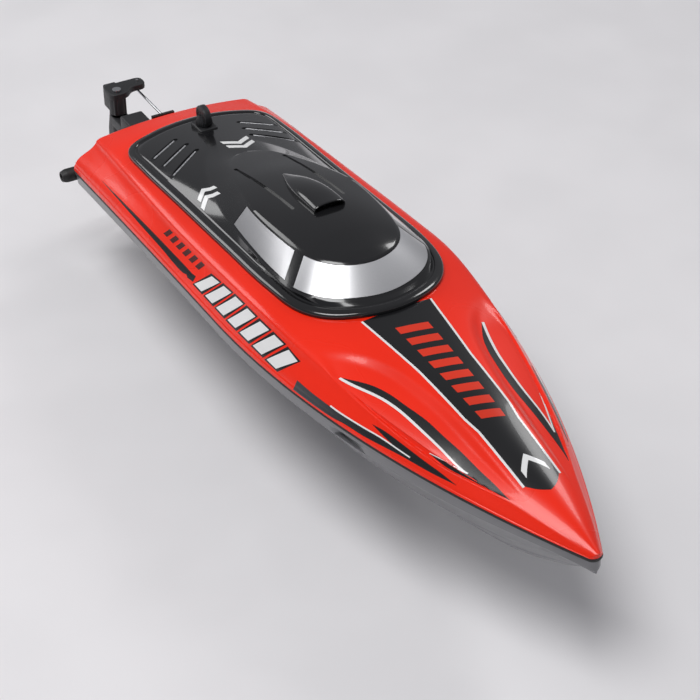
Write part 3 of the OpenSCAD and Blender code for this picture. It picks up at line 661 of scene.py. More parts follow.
@dataclass(frozen=True)
class Wire:
    """A value in a shader tree; arithmetic on it adds Math nodes."""

    tree: bpy.types.NodeTree
    socket: bpy.types.NodeSocket

    @staticmethod
    def add(
        tree: bpy.types.NodeTree,
        kind: str,
        settings: dict[str, Any] | None = None,
        links: dict[int | str, Any] | None = None,
        out: int | str = 0,
    ) -> "Wire":
        """Add a node of any type.

        Args:
            tree: the tree it goes in.
            kind: the node's type.
            settings: its properties.
            links: a value or a wire for each named or numbered input.
            out: the output to return.

        Returns:
            The chosen output.
        """
        node = tree.nodes.new(kind)
        for key, value in (settings or {}).items():
            setattr(node, key, value)
        for key, value in (links or {}).items():
            if isinstance(value, Wire):
                tree.links.new(value.socket, node.inputs[key])
            else:
                node.inputs[key].default_value = value
        return Wire(tree, node.outputs[out])

    def node(
        self, kind: str, settings: dict[str, Any] | None = None, links: Any = None, out: int | str = 0
    ) -> "Wire":
        """Add a node to this wire's tree."""
        return Wire.add(self.tree, kind, settings, links, out)

    def maths(self, operation: str, a: Any, b: Any = 0.0) -> "Wire":
        """Return one Math node on two values."""
        return self.node("ShaderNodeMath", {"operation": operation}, {0: a, 1: b})

    def __add__(self, other: Any) -> "Wire":
        """Return self + other."""
        return self.maths("ADD", self, other)

    def __radd__(self, other: Any) -> "Wire":
        """Return other + self."""
        return self.maths("ADD", other, self)

    def __sub__(self, other: Any) -> "Wire":
        """Return self - other."""
        return self.maths("SUBTRACT", self, other)

    def __rsub__(self, other: Any) -> "Wire":
        """Return other - self."""
        return self.maths("SUBTRACT", other, self)

    def __mul__(self, other: Any) -> "Wire":
        """Return self times other."""
        return self.maths("MULTIPLY", self, other)

    def __rmul__(self, other: Any) -> "Wire":
        """Return other times self."""
        return self.maths("MULTIPLY", other, self)

    def ramp(self, low: float, high: float) -> "Wire":
        """Return a smooth step of self between low and high.

        Args:
            low: the value that gives 0.
            high: the value that gives 1.

        Returns:
            The stepped value.
        """
        return self.node(
            "ShaderNodeMapRange", {"interpolation_type": "SMOOTHSTEP"}, {0: self, 1: low, 2: high, 3: 0.0, 4: 1.0}
        )

    def blend(self, a: Any, b: Any) -> "Wire":
        """Return the colour between a and b at the factor self."""
        return self.node("ShaderNodeMix", {"data_type": "RGBA"}, {0: self, 6: a, 7: b}, out=2)


class Grain(Enum):
    """The fine structure of a finish; for the silver film, mostly a painted reflection."""

    PAINT = "paint"
    SPECKLE = "speckle"
    BRUSHED = "brushed"
    WOOD = "wood"
    WOVEN = "woven"
    CELLS = "cells"
    FADE = "fade"
    # silver film: a painted reflection, lighter higher up and towards the bow, with fine lines
    FILM = "film"


Colour = tuple[float, float, float]


@dataclass(frozen=True)
class Finish:
    """One finish: a base colour, how it shines and its grain."""

    name: str
    colour: Colour
    rough: float = 0.35
    metallic: float = 0.0
    coat: float = 0.0
    coat_rough: float = 0.04
    grain: Grain = Grain.SPECKLE
    scale: float = 900.0
    spread: float = 0.10
    relief: float = 0.06
    specular: float = 0.5
    # second colour; on the silver film it is the lit end of the painted reflection
    second: Colour | None = None
    transmission: float = 0.0

    def shade(self, amount: float) -> tuple[float, float, float, float]:
        """Return the base colour, made lighter or darker."""
        r, g, b = (clamp(c * amount, 0.0, 1.0) for c in self.colour)
        return (r, g, b, 1.0)

    def pattern(self, at: Wire) -> tuple[Wire, Wire, float]:
        """Build the grain, and for the silver film a painted reflection.

        Args:
            at: the object coordinates.

        Returns:
            The colour's factor, the height of the relief and the relief's depth in metres.
        """
        parts = at.node("ShaderNodeSeparateXYZ", links={0: at})
        x = parts
        y, z = (Wire(at.tree, parts.socket.node.outputs[k]) for k in (1, 2))

        def noise(scale: float, stretch: Point = (1, 1, 1), detail: float = 3.0) -> Wire:
            """Return noise of this scale, drawn out along the axes."""
            drawn = at.node("ShaderNodeVectorMath", {"operation": "MULTIPLY"}, {0: at, 1: stretch})
            return at.node("ShaderNodeTexNoise", links={"Vector": drawn, "Scale": scale, "Detail": detail})

        if self.grain is Grain.PAINT:
            return noise(14.0, detail=2.0).ramp(0.3, 0.7), noise(self.scale, detail=1.0), 0.00002
        if self.grain is Grain.BRUSHED:
            lines = noise(self.scale, (0.06, 1.0, 1.0))
            return lines.ramp(0.25, 0.75), lines, 0.00003
        if self.grain is Grain.WOOD:
            rings = noise(140.0, (0.12, 1.0, 2.5), 5.0)
            return rings.ramp(0.35, 0.65), rings, 0.00006
        if self.grain is Grain.WOVEN:
            weave = (x * 3900.0).maths("SINE", x * 3900.0) * (y + z).maths("SINE", (y + z) * 3900.0)
            return (weave * 0.5 + 0.5), weave, 0.00015
        if self.grain is Grain.CELLS:
            cells = at.node("ShaderNodeTexVoronoi", links={"Vector": at, "Scale": self.scale})
            return cells.ramp(0.1, 0.7), cells, 0.00012
        if self.grain is Grain.FADE:
            return (x + 0.01 * noise(60.0)).ramp(0.128, 0.165), noise(self.scale), 0.00002
        if self.grain is Grain.FILM:
            # painted reflection: lighter higher up and towards the bow; the fine lines are the film's own grain
            sheen = (z * 26.0 + x * 3.0 + noise(9.0, (0.2, 1, 1)) * 0.5).ramp(2.25, 3.2)
            lines = noise(1500.0, (1.0, 1.0, 0.05))
            return (sheen * 0.86 + lines * 0.14), lines, 0.00002
        spots = noise(self.scale)
        return spots.ramp(0.3, 0.7), spots, 0.00006

    def material(self) -> bpy.types.Material:
        """Return the material of this finish, made once.

        Returns:
            The material.
        """
        name = f"finish_{self.name}"
        made = bpy.data.materials.get(name)
        if made:
            return made
        made = bpy.data.materials.new(name)
        made.use_nodes = True
        tree = made.node_tree
        shader = next(n for n in tree.nodes if n.type == "BSDF_PRINCIPLED")
        at = Wire.add(tree, "ShaderNodeTexCoord", out="Object")
        factor, height, depth = self.pattern(at)
        light = (*self.second, 1.0) if self.second else self.shade(1 + self.spread)
        tree.links.new(factor.blend(self.shade(1 - self.spread), light).socket, shader.inputs["Base Color"])
        rough = (factor - 0.5) * (0.25 * self.rough) + self.rough
        tree.links.new(rough.socket, shader.inputs["Roughness"])
        bump = at.node("ShaderNodeBump", links={"Strength": self.relief, "Distance": depth * 8, "Height": height})
        tree.links.new(bump.socket, shader.inputs["Normal"])
        shader.inputs["Metallic"].default_value = self.metallic
        shader.inputs["Coat Weight"].default_value = self.coat
        shader.inputs["Coat Roughness"].default_value = self.coat_rough
        shader.inputs["Specular IOR Level"].default_value = self.specular
        shader.inputs["Transmission Weight"].default_value = self.transmission
        return made


RED = Finish(
    "deck_red", (0.9, 0.022, 0.004), 0.27, coat=0.2, grain=Grain.PAINT, scale=260, spread=0.05, relief=0.02,
    specular=0.35,
)
SILVER_HULL = Finish(
    "hull_gray", (0.19, 0.19, 0.2), 0.32, metallic=0.3, coat=0.3, grain=Grain.PAINT, scale=500, relief=0.02
)
GLOSS_BLACK = Finish("canopy_black", (0.01, 0.01, 0.011), 0.16, coat=0.5, grain=Grain.PAINT, scale=300, relief=0.02)
SATIN_BLACK = Finish("trim_black", (0.016, 0.016, 0.018), 0.42, scale=1600)
MATT_BLACK = Finish("steering_black", (0.018, 0.018, 0.02), 0.5, scale=1500, relief=0.12)
RUBBER = Finish("seal_rubber", (0.01, 0.01, 0.01), 0.55, scale=1200, relief=0.12)
# silver pane film: its base colour is the shaded end and its second colour the lit end of a painted reflection
FILM = Finish(
    "glazing_silver", (0.4, 0.4, 0.41), 0.3, metallic=0.75, coat=0.5, grain=Grain.FILM, spread=0.0,
    second=(0.86, 0.86, 0.88),
)
STEEL = Finish("steel", (0.5, 0.51, 0.53), 0.34, metallic=1.0, grain=Grain.BRUSHED, scale=1500, spread=0.15)
BRIGHT = Finish("bright_steel", (0.66, 0.67, 0.69), 0.2, metallic=1.0, grain=Grain.BRUSHED, scale=1800)
ALUMINIUM = Finish("aluminium", (0.56, 0.57, 0.59), 0.38, metallic=1.0, grain=Grain.BRUSHED, scale=1300)
BRASS = Finish("brass", (0.68, 0.48, 0.18), 0.28, metallic=1.0, grain=Grain.BRUSHED, scale=1300)
SERVO_BLUE = Finish("servo_blue", (0.02, 0.035, 0.16), 0.38)
NYLON = Finish("arm_white", (0.78, 0.78, 0.74), 0.42)
PLYWOOD = Finish("plywood", (0.45, 0.27, 0.12), 0.6, grain=Grain.WOOD, spread=0.28, relief=0.3)
JACKET = Finish("jacket_blue", (0.03, 0.1, 0.42), 0.3, metallic=0.9, grain=Grain.BRUSHED, scale=1200)
HOSE = Finish("hose_clear", (0.74, 0.78, 0.8), 0.2, transmission=0.5, scale=400)
PACK = Finish("pack_blue", (0.02, 0.1, 0.42), 0.25, coat=0.4, grain=Grain.PAINT, scale=500)
STRAP = Finish("strap_black", (0.02, 0.02, 0.02), 0.8, grain=Grain.WOVEN, spread=0.4, relief=0.5)
LEAD = Finish("lead_red", (0.6, 0.02, 0.01), 0.45)
BOARD = Finish("board_green", (0.01, 0.16, 0.07), 0.35)
BUTTON = Finish("button_red", (0.62, 0.02, 0.015), 0.25, coat=0.3)
FOAM = Finish("foam_white", (0.8, 0.8, 0.77), 0.85, grain=Grain.CELLS, scale=700, relief=0.5)
WHITE_INK = Finish(
    "ink_white", (0.8, 0.8, 0.8), 0.3, coat=0.5, grain=Grain.PAINT, scale=400, spread=0.03, relief=0.01
)
BLACK_INK = Finish("ink_black", (0.008, 0.008, 0.009), 0.25, coat=0.3, grain=Grain.PAINT, scale=400, relief=0.01)
FADE_INK = Finish(
    "ink_fade", (0.05, 0.05, 0.055), 0.24, coat=0.6, grain=Grain.FADE, spread=0.0, second=(0.008, 0.008, 0.01)
)
DARK_RED_INK = Finish("ink_dark_red", (0.07, 0.006, 0.004), 0.26, coat=0.5, grain=Grain.PAINT, scale=400)
RED_INK = Finish("ink_red", (0.72, 0.03, 0.006), 0.26, coat=0.5, grain=Grain.PAINT, scale=400)
SILVER_INK = Finish("ink_silver", (0.55, 0.55, 0.57), 0.28, metallic=0.7, grain=Grain.BRUSHED, scale=900)
FLOOR = Finish("floor", (0.8, 0.785, 0.8), 0.6, grain=Grain.PAINT, scale=60, spread=0.015, relief=0.0)


# --------------------------------------------------------------------------- hull, deck and seals


@dataclass
class Shells:
    """The hull, the deck, the gasket between them and the hatch seal."""

    form: HullForm = field(default_factory=HullForm)
    columns: int = 72
    bead: Table = (
        (-3.5, -0.95), (-0.3, -0.95), (0.1, -0.8), (0.3, -0.35), (0.3, 0.35), (0.1, 0.8), (-0.3, 0.95), (-3.5, 0.95),
    )

    def inset(self, p: Point, up: float) -> Point:
        """Return a point of a shell's inner skin."""
        b = self.form.breadth(p[0])
        return (p[0], p[1] * (1 - self.form.wall / max(b, 4)), p[2] + up)

    def skins(
        self, section: Callable[[float, float], Point], steps: Sequence[float], up: float
    ) -> tuple[list[list[Vector]], list[list[Vector]]]:
        """Return the outer and the inner skin of a shell whose sections run across the boat.

        Args:
            section: gives a section's point from a station and a share.
            steps: the shares across the section.
            up: how far the inner skin stands over the outer one, in millimetres.

        Returns:
            The rows of points of the outer and of the inner skin.
        """
        outer = [[place(section(x, s)) for s in steps] for x in hull_stations()]
        inside = [clamp(x, self.form.wall, 403.0) for x in hull_stations()]
        inner = [[place(self.inset(section(x, s), up)) for s in steps] for x in inside]
        return outer, inner

    def hull(self) -> bpy.types.Object:
        """Build the hull below the seam, with spray rails and a notched side strip.

        Returns:
            The hull.
        """
        steps = half_steps(28, (0.06, 0.182, 0.2, 0.212, 0.216, 0.322, 0.34, 0.352, 0.356, 0.39, 0.4, 0.41, 0.6, 0.61,
                                0.625, 0.64, 0.66, 0.84, 0.85, 0.865, 0.95, 0.958, 0.967, 0.98))
        outer, inner = self.skins(self.form.bottom, steps, self.form.wall)
        return MAKER.finish(
            MAKER.shell("Hull", outer, inner), SILVER_HULL, "hull", "hull_gray", ["lower_hull"]
        )

    def deck(self) -> bpy.types.Object:
        """Build the deck with its sunk panels, hatch opening and rod slot.

        Returns:
            The deck.
        """
        steps = half_steps(self.columns, (0.465, 0.5, 0.535, 0.935, 0.942, 0.948, 0.955))
        outer, inner = self.skins(self.form.deck, steps, -self.form.wall)
        obj = MAKER.shell("Deck", outer, inner)
        rim = CANOPY_FORM.rim(11)
        hatch = MAKER.loft("Hatch", [[place((x, y, z)) for x, y in rim] for z in (50.0, 100.0)])
        MAKER.cut(obj, hatch)
        MAKER.cut(obj, MAKER.block("Slot", (-3, -10, 59.2), (5, -0.9, 63.8)))
        return MAKER.finish(obj, RED, "hull", "deck_red", ["deck_shell"])

    def gasket(self) -> bpy.types.Object:
        """Build the rubber line between hull and deck as a rounded bead right round the boat.

        Returns:
            The gasket.
        """
        xs = hull_stations()
        f = self.form
        side = [(x, f.breadth(x) * (1 - f.tuck(x) / 60)) for x in xs]
        aft = [(0.0, y * side[0][1]) for y in (0.9, 0.6, 0.3, 0.0, -0.3, -0.6, -0.9)]
        path = [(x, -y) for x, y in side] + [(x, y) for x, y in reversed(side)] + aft
        rings = []
        for k, (x, y) in enumerate(path):
            (xa, ya), (xb, yb) = path[k - 1], path[(k + 1) % len(path)]
            out = Vector((yb - ya, xa - xb)).normalized()
            z = f.seam(x)
            rings.append([
                place((clamp(x + d * out.x, 0.0, f.length), y + d * out.y, z + h)) for d, h in self.bead
            ])
        return MAKER.finish(MAKER.loop("Gasket", rings), RUBBER, "hull", "seal_rubber", ["seam_gasket"])

    def seal(self) -> bpy.types.Object:
        """Build the foam-rubber seal on the hatch's edge.

        Returns:
            The seal.
        """
        rings = []
        pairs = list(zip(CANOPY_FORM.rim(11.05), CANOPY_FORM.rim(12.5)))
        for (x0, y0), (x1, y1) in pairs:
            a, b = (self.form.crown(x, y) for x, y in ((x0, y0), (x1, y1)))
            rings.append([place(p) for p in (
                (x0, y0, a - 2.4), (x0, y0, a), (lerp(x0, x1, 0.3), lerp(y0, y1, 0.3), a + 0.35),
                (lerp(x0, x1, 0.7), lerp(y0, y1, 0.7), b + 0.35), (x1, y1, b), (x1, y1, b - 2.4),
            )])
        return MAKER.finish(MAKER.loop("Seal", rings), RUBBER, "hull", "seal_rubber", ["hatch_seal"])


# --------------------------------------------------------------------------- canopy form


@dataclass(frozen=True)
class CanopyForm:
    """The canopy's outline, sill, brow and ridge, as control points from the rear to the front."""

    rim_ring: Table = (
        (24, 0), (26.5, 26), (34, 43), (60, 46), (110, 46), (160, 46), (203, 45.5), (230, 41), (247, 26), (254.6, 0),
    )
    base_ring: Table = (
        (70, 0, 82), (74, 10, 82), (86, 20, 82), (105, 28, 82.4), (128, 34, 83), (160, 38, 83.5), (198, 40, 84.2),
        (223, 37.5, 84.8), (239, 24, 85), (246, 0, 85),
    )
    brow_ring: Table = (
        (92, 0, 85.4), (94, 7, 85.8), (102, 13, 87.6), (116, 18, 90.4), (135, 23.5, 93.4), (160, 29, 95.8),
        (190, 28.5, 96.8), (212, 24.5, 96.9), (224.5, 15, 96.8), (229, 0, 96.6),
    )
    ridge: Table = (
        (92, 85.6), (112, 90.4), (135, 95.9), (160, 99.8), (184, 102.4), (205, 101.8), (222, 98.8), (229, 96.6),
    )
    scoop: Table = (
        (139, 0.6, 0.3), (146, 3.5, 1.8), (155, 6.4, 3.6), (166, 8.4, 4.6), (178, 9, 4.4), (188, 9, 3.9),
    )
    wall: float = 1.8
    steps: int = 12

    def on_ring(self, ring: Table, u: float) -> tuple[float, ...]:
        """Return a point of a smooth half ring; u counts its control points from the rear.

        Args:
            ring: the control points of the half ring.
            u: the place between them.

        Returns:
            The point.
        """
        n = len(ring) - 1
        i = min(int(u), n - 1)
        t = u - i

        def flip(p: Sequence[float]) -> list[float]:
            """Return the point's mirror image."""
            return [-v if k == 1 else v for k, v in enumerate(p)]

        p0 = flip(ring[1]) if i == 0 else ring[i - 1]
        p3 = flip(ring[n - 1]) if i == n - 1 else ring[i + 2]
        return tuple(
            0.5 * (2 * b + (c - a) * t + (2 * a - 5 * b + 4 * c - d) * t**2 + (3 * b - a - 3 * c + d) * t**3)
            for a, b, c, d in zip(p0, ring[i], ring[i + 1], p3)
        )

    def full(self, ring: Table) -> list[tuple[float, ...]]:
        """Return the whole ring, starboard then port.

        Args:
            ring: the control points of the half ring.

        Returns:
            The points of the ring.
        """
        n = (len(ring) - 1) * self.steps
        half = [self.on_ring(ring, k / self.steps) for k in range(n + 1)]
        starboard = [tuple(-v if k == 1 else v for k, v in enumerate(p)) for p in half]
        return starboard + [half[k] for k in range(n - 1, 0, -1)]

    def rim(self, d: float) -> list[tuple[float, ...]]:
        """Return the outline brought in by d.

        Args:
            d: the distance inwards, in millimetres.

        Returns:
            The points of the outline.
        """
        out = []
        for x, y in self.rim_ring:
            cx = clamp(x, 80.0, 200.0)
            size = math.hypot(x - cx, y)
            out.append((cx + (x - cx) * (size - d) / size, y * (size - d) / size))
        return self.full(tuple(out))

    def on_crown(self, d: float, h: float) -> list[Point]:
        """Return the outline brought in by d, at h over the deck's crown."""
        return [(x, y, FORM.crown(x, y) + h) for x, y in self.rim(d)]

    def shrink(self, ring: Sequence[tuple[float, ...]], d: float) -> list[Point]:
        """Return a ring brought in and down by the wall.

        Args:
            ring: the ring's points.
            d: the wall's thickness, in millimetres.

        Returns:
            The ring's new points.
        """
        out = []
        for x, y, z in ring:
            cx = clamp(x, 112.0, 190.0)
            size = max(math.hypot(x - cx, y), 0.01)
            out.append((cx + (x - cx) * (size - d) / size, y * (size - d) / size, z - 0.6 * d))
        return out

    def roof(self, ring: Sequence[tuple[float, ...]], f: float, drop: float = 0.0) -> list[Point]:
        """Return a ring drawn in to the ridge; f is 1 at the brow and 0 on the ridge."""
        return [(x, y * f, z + (look(self.ridge, x, 1) - drop - z) * (1 - f * f)) for x, y, z in ring]

    def band(self, s: float, v: float) -> Vector:
        """Return a point of the glazed band; s counts spans from the front centre, v runs from sill to brow.

        Args:
            s: the span.
            v: 0 at the sill and 1 at the brow.

        Returns:
            The point, in millimetres.
        """
        a, b = (self.on_ring(r, 9 - abs(s)) for r in (self.base_ring, self.brow_ring))
        x, y, z = (lerp(p, q, v) for p, q in zip(a, b))
        return Vector((x, -y if s < 0 else y, z))

    def band_at(self, s: float, v: float, out: float) -> Vector:
        """Return a point at a distance outside the glazed band, in millimetres.

        Args:
            s: the span.
            v: 0 at the sill and 1 at the brow.
            out: the distance outside the band.

        Returns:
            The point, in millimetres.
        """
        along = self.band(s + 0.02, v) - self.band(s - 0.02, v)
        up = self.band(s, v + 0.1) - self.band(s, v - 0.1)
        return self.band(s, v) + along.cross(up).normalized() * out


CANOPY_FORM = CanopyForm()


class Pane(Enum):
    """A pane of the canopy: its first and last span, and its sill and brow."""

    WINDSCREEN = (-2.2, 2.2, 0.08, 0.92)
    PORT = (2.5, 4.25, 0.1, 0.9)
    STARBOARD = (-4.25, -2.5, 0.1, 0.9)


@dataclass
class Canopy:
    """The lift-off canopy with its panes, air scoop, vents and marks."""

    form: CanopyForm = field(default_factory=CanopyForm)
    shell: bpy.types.Object | None = None
    vent_radius: float = 1.5
    groove: Table = ((112, 89.1), (128, 92.7), (144, 95.6), (160, 97.9), (176, 99.5))
    groove_side: float = 14.6
    groove_radius: float = 0.9
    highest: float = 106.38
    mark_lift: float = 0.0001
    mark_root: float = 0.0003
    mark_cells: int = 8

    def outer_rings(self) -> list[list[Point]]:
        """Return the outer skin from the foot of the rim to the ridge.

        Returns:
            The rings, from the outside edge to the ridge.
        """
        f = self.form
        rim = [(0.0, 0.32), (0.0, 1.5), (0.12, 2.0), (0.4, 2.4), (0.9, 2.68), (1.8, 2.86), (3.2, 2.98), (4.0, 3.0),
               (4.5, 2.75), (4.9, 2.3), (5.6, 2.25)]
        rings = [f.on_crown(d, h) for d, h in rim]
        start, sill, brow = f.on_crown(6.2, 2.75), f.full(f.base_ring), f.full(f.brow_ring)
        for t in (0.0, 0.06, 0.2, 0.4, 0.6, 0.8, 0.95, 1.0):
            rings.append([tuple(lerp(a, b, t) for a, b in zip(p, q)) for p, q in zip(start, sill)])
        for t in (0.06, 0.25, 0.5, 0.75, 0.94):
            rings.append([tuple(lerp(a, b, t) for a, b in zip(p, q)) for p, q in zip(sill, brow)])
        return rings + [f.roof(brow, k) for k in (1.0, 0.95, 0.85, 0.7, 0.55, 0.4, 0.25, 0.12, 0.0)]

    def inner_rings(self) -> list[list[Point]]:
        """Return the inner skin from its foot to the ridge.

        Returns:
            The rings, from the foot to the ridge.
        """
        f = self.form
        sill, brow = (f.shrink(f.full(r), f.wall) for r in (f.base_ring, f.brow_ring))
        foot = [f.on_crown(9, h) for h in (0.32, 1.3)]
        return foot + [sill] + [f.roof(brow, k, f.wall) for k in (1.0, 0.7, 0.4, 0.2, 0.0)]

    def stadium(self, a: Point, b: Point, radius: float) -> bpy.types.Object:
        """Return a cutter for a slot with round ends, from a to b, open upwards.

        Args:
            a: the centre of one end.
            b: the centre of the other end.
            radius: half the slot's width.

        Returns:
            The cutter.
        """
        way = math.atan2(b[1] - a[1], b[0] - a[0])
        low: list[Point] = []
        for end, start in ((b, way - math.pi / 2), (a, way + math.pi / 2)):
            for k in range(9):
                turn = start + math.pi * k / 8
                low.append((end[0] + radius * math.cos(turn), end[1] + radius * math.sin(turn), end[2]))
        return MAKER.loft("Slot", [[place(p) for p in low], [place((x, y, z + 9)) for x, y, z in low]])

    def grid(self, pane: Pane, out: float, room: float, count: tuple[int, int]) -> list[list[Vector]]:
        """Return points over a pane at a distance outside the band.

        Args:
            pane: which pane.
            out: the distance outside the band, in millimetres.
            room: how far the grid stays inside the pane's edge.
            count: the cells along and up.

        Returns:
            Columns of points, in metres.
        """
        s0, s1, v0, v1 = pane.value
        s0, s1, v0, v1 = s0 + room, s1 - room, v0 + room, v1 - room
        return [
            [place(self.form.band_at(lerp(s0, s1, i / count[0]), lerp(v0, v1, j / count[1]), out))
             for j in range(count[1] + 1)]
            for i in range(count[0] + 1)
        ]

    def vents(self) -> list[tuple[Point, Point]]:
        """Return the ends of the six vent slots behind the cabin.

        Returns:
            The two ends of each slot.
        """
        table = (((57, 38, 73.8), (47.5, 20, 76)), ((69, 37.5, 75.1), (58, 18, 77.8)), ((82, 38, 76), (69, 17, 79.5)))
        return [
            ((a[0], side * a[1], a[2]), (b[0], side * b[1], b[2])) for side in (-1, 1) for a, b in table
        ]

    def build_shell(self) -> None:
        """Build the moulding, and cut its windows, vents, roof grooves and latch hole."""
        rings = list(reversed(self.inner_rings())) + self.outer_rings()
        obj = MAKER.loft("Canopy", [[place(p) for p in ring] for ring in rings], caps=False)
        for pane in Pane:
            count = (28, 4)
            MAKER.cut(obj, MAKER.plate("Window", self.grid(pane, 3, 0, count), self.grid(pane, -4, 0, count)))
        for a, b in self.vents():
            MAKER.cut(obj, self.stadium(a, b, self.vent_radius))
        for y in (-self.groove_side, self.groove_side):
            for (x0, z0), (x1, z1) in zip(self.groove, self.groove[1:]):
                MAKER.cut(obj, self.stadium((x0, y, z0), (x1, y, z1), self.groove_radius))
        MAKER.cut(obj, MAKER.barrel("Hole", (44, 0, 66), (0, 0, 1), ((0, 3.4), (30, 3.4))))
        self.shell = MAKER.finish(obj, GLOSS_BLACK, "canopy", "canopy_black", ["canopy_shell"])

    def build_panes(self) -> None:
        """Build the three silver panes, set a little below the moulding."""
        names = {
            Pane.WINDSCREEN: "windscreen",
            Pane.PORT: "side_window_port",
            Pane.STARBOARD: "side_window_starboard",
        }
        for pane, node in names.items():
            outer, inner = (self.grid(pane, out, 0.012, (40, 8)) for out in (-0.15, -1.55))
            obj = MAKER.plate(node.replace("_", " ").title(), outer, inner)
            # the panes' finish paints a reflection that gets lighter higher up
            MAKER.finish(obj, FILM, "canopy", "glazing_silver", [node])

    def build_scoop(self) -> None:
        """Build the air scoop as a hood that is open at the front."""

        def section(x: float, thick: float) -> list[Vector]:
            """Return the hood's section at a station.

            Args:
                x: the station, in millimetres from the transom.
                thick: how far the section is drawn in, in millimetres.

            Returns:
                The section's points.
            """
            w, h = look(self.form.scoop, x, 1) - thick, look(self.form.scoop, x, 2) - thick
            z = look(self.form.ridge, x, 1)
            h = min(h, self.highest - z)
            arc = [(w * math.cos(a), z + h * max(math.sin(a), 0.0) ** 0.6)
                   for a in (math.pi - math.pi * k / 28 for k in range(29))]
            return [place((x, y, v)) for y, v in [(-w, z - 1.5 + thick)] + arc + [(w, z - 1.5 + thick)]]

        outside = [139.0, 141, 143.5, 146, 149, 152, 155, 158.5, 162, 166, 170, 174, 178, 182, 185, 187, 187.7]
        rings = [section(x, 0.0) for x in outside] + [section(188.0, 0.25), section(188.0, 0.85)]
        rings += [section(x, 1.1) for x in (187.6, 184.0, 178.0, 172.0, 166.0)]
        MAKER.finish(MAKER.loft("Air scoop", rings), GLOSS_BLACK, "canopy", "canopy_black", ["air_scoop"])

    def surface(self, x: float, y: float) -> tuple[Vector, Vector]:
        """Return the point and normal of the moulding under a point of the plan.

        Args:
            x: the station.
            y: the offset across.

        Returns:
            The point, in metres, and the normal.
        """
        start = place((x, y, 140.0))
        hit, point, normal, _ = self.shell.ray_cast(start, Vector((0, 0, -1)))
        return (point, normal) if hit else (place((x, y, 80.0)), Vector((0, 0, 1)))

    def mark(self, name: str, corners: Sequence[tuple[float, float]], finish: Finish) -> None:
        """Lay a four-cornered printed mark on the moulding; its corners are points of the plan.

        Args:
            name: the mark's name.
            corners: its corners, as points of the plan.
            finish: its ink.
        """
        a, b, c, d = corners
        outer: list[list[Vector]] = []
        inner: list[list[Vector]] = []
        for i in range(self.mark_cells + 1):
            rows: tuple[list[Vector], list[Vector]] = ([], [])
            for j in range(self.mark_cells + 1):
                u, v = i / self.mark_cells, j / self.mark_cells
                x = lerp(lerp(a[0], b[0], u), lerp(d[0], c[0], u), v)
                y = lerp(lerp(a[1], b[1], u), lerp(d[1], c[1], u), v)
                point, normal = self.surface(x, y)
                rows[0].append(point + normal * self.mark_lift)
                rows[1].append(point - normal * self.mark_root)
            outer.append(rows[0])
            inner.append(rows[1])
        MAKER.finish(MAKER.plate(name, outer, inner), finish, "canopy", "canopy_black")

    def build_marks(self) -> None:
        """Lay the pale chevrons on the moulding and the silver lines in the vents."""
        for k, (x, y) in enumerate(((108.0, -33.0), (115.0, -34.5))):
            for side in (-1, 1):
                self.mark(f"Mark {k} {side}", [(x, y), (x + 4, y), (x + 9, y + side * 5), (x + 5, y + side * 5)],
                          WHITE_INK)
        for k, x in enumerate((70.0, 77.0)):
            for side in (-1, 1):
                corners = [(x + 6, 5), (x + 10, 5), (x + 4, 5 + side * 8), (x, 5 + side * 8)]
                self.mark(f"Rear mark {k} {side}", corners, WHITE_INK)
        for k, (a, b) in enumerate(self.vents()):
            way = Vector(b) - Vector(a)
            a1, b1 = Vector(a) + way * 0.04, Vector(b) - way * 0.04
            obj = MAKER.barrel(f"Vent line {k}", tuple(a1 + Vector((0, 0, 0.35))), tuple(b1 - a1),
                               ((0, 0.3), (0.3, 0.55), ((b1 - a1).length - 0.3, 0.55), ((b1 - a1).length, 0.3)), 16)
            MAKER.finish(obj, SILVER_INK, "canopy", "canopy_black")

    def build(self) -> None:
        """Build the canopy's moulding, panes, scoop and marks."""
        self.build_shell()
        self.build_panes()
        self.build_scoop()
        self.build_marks()


# --------------------------------------------------------------------------- printed graphics


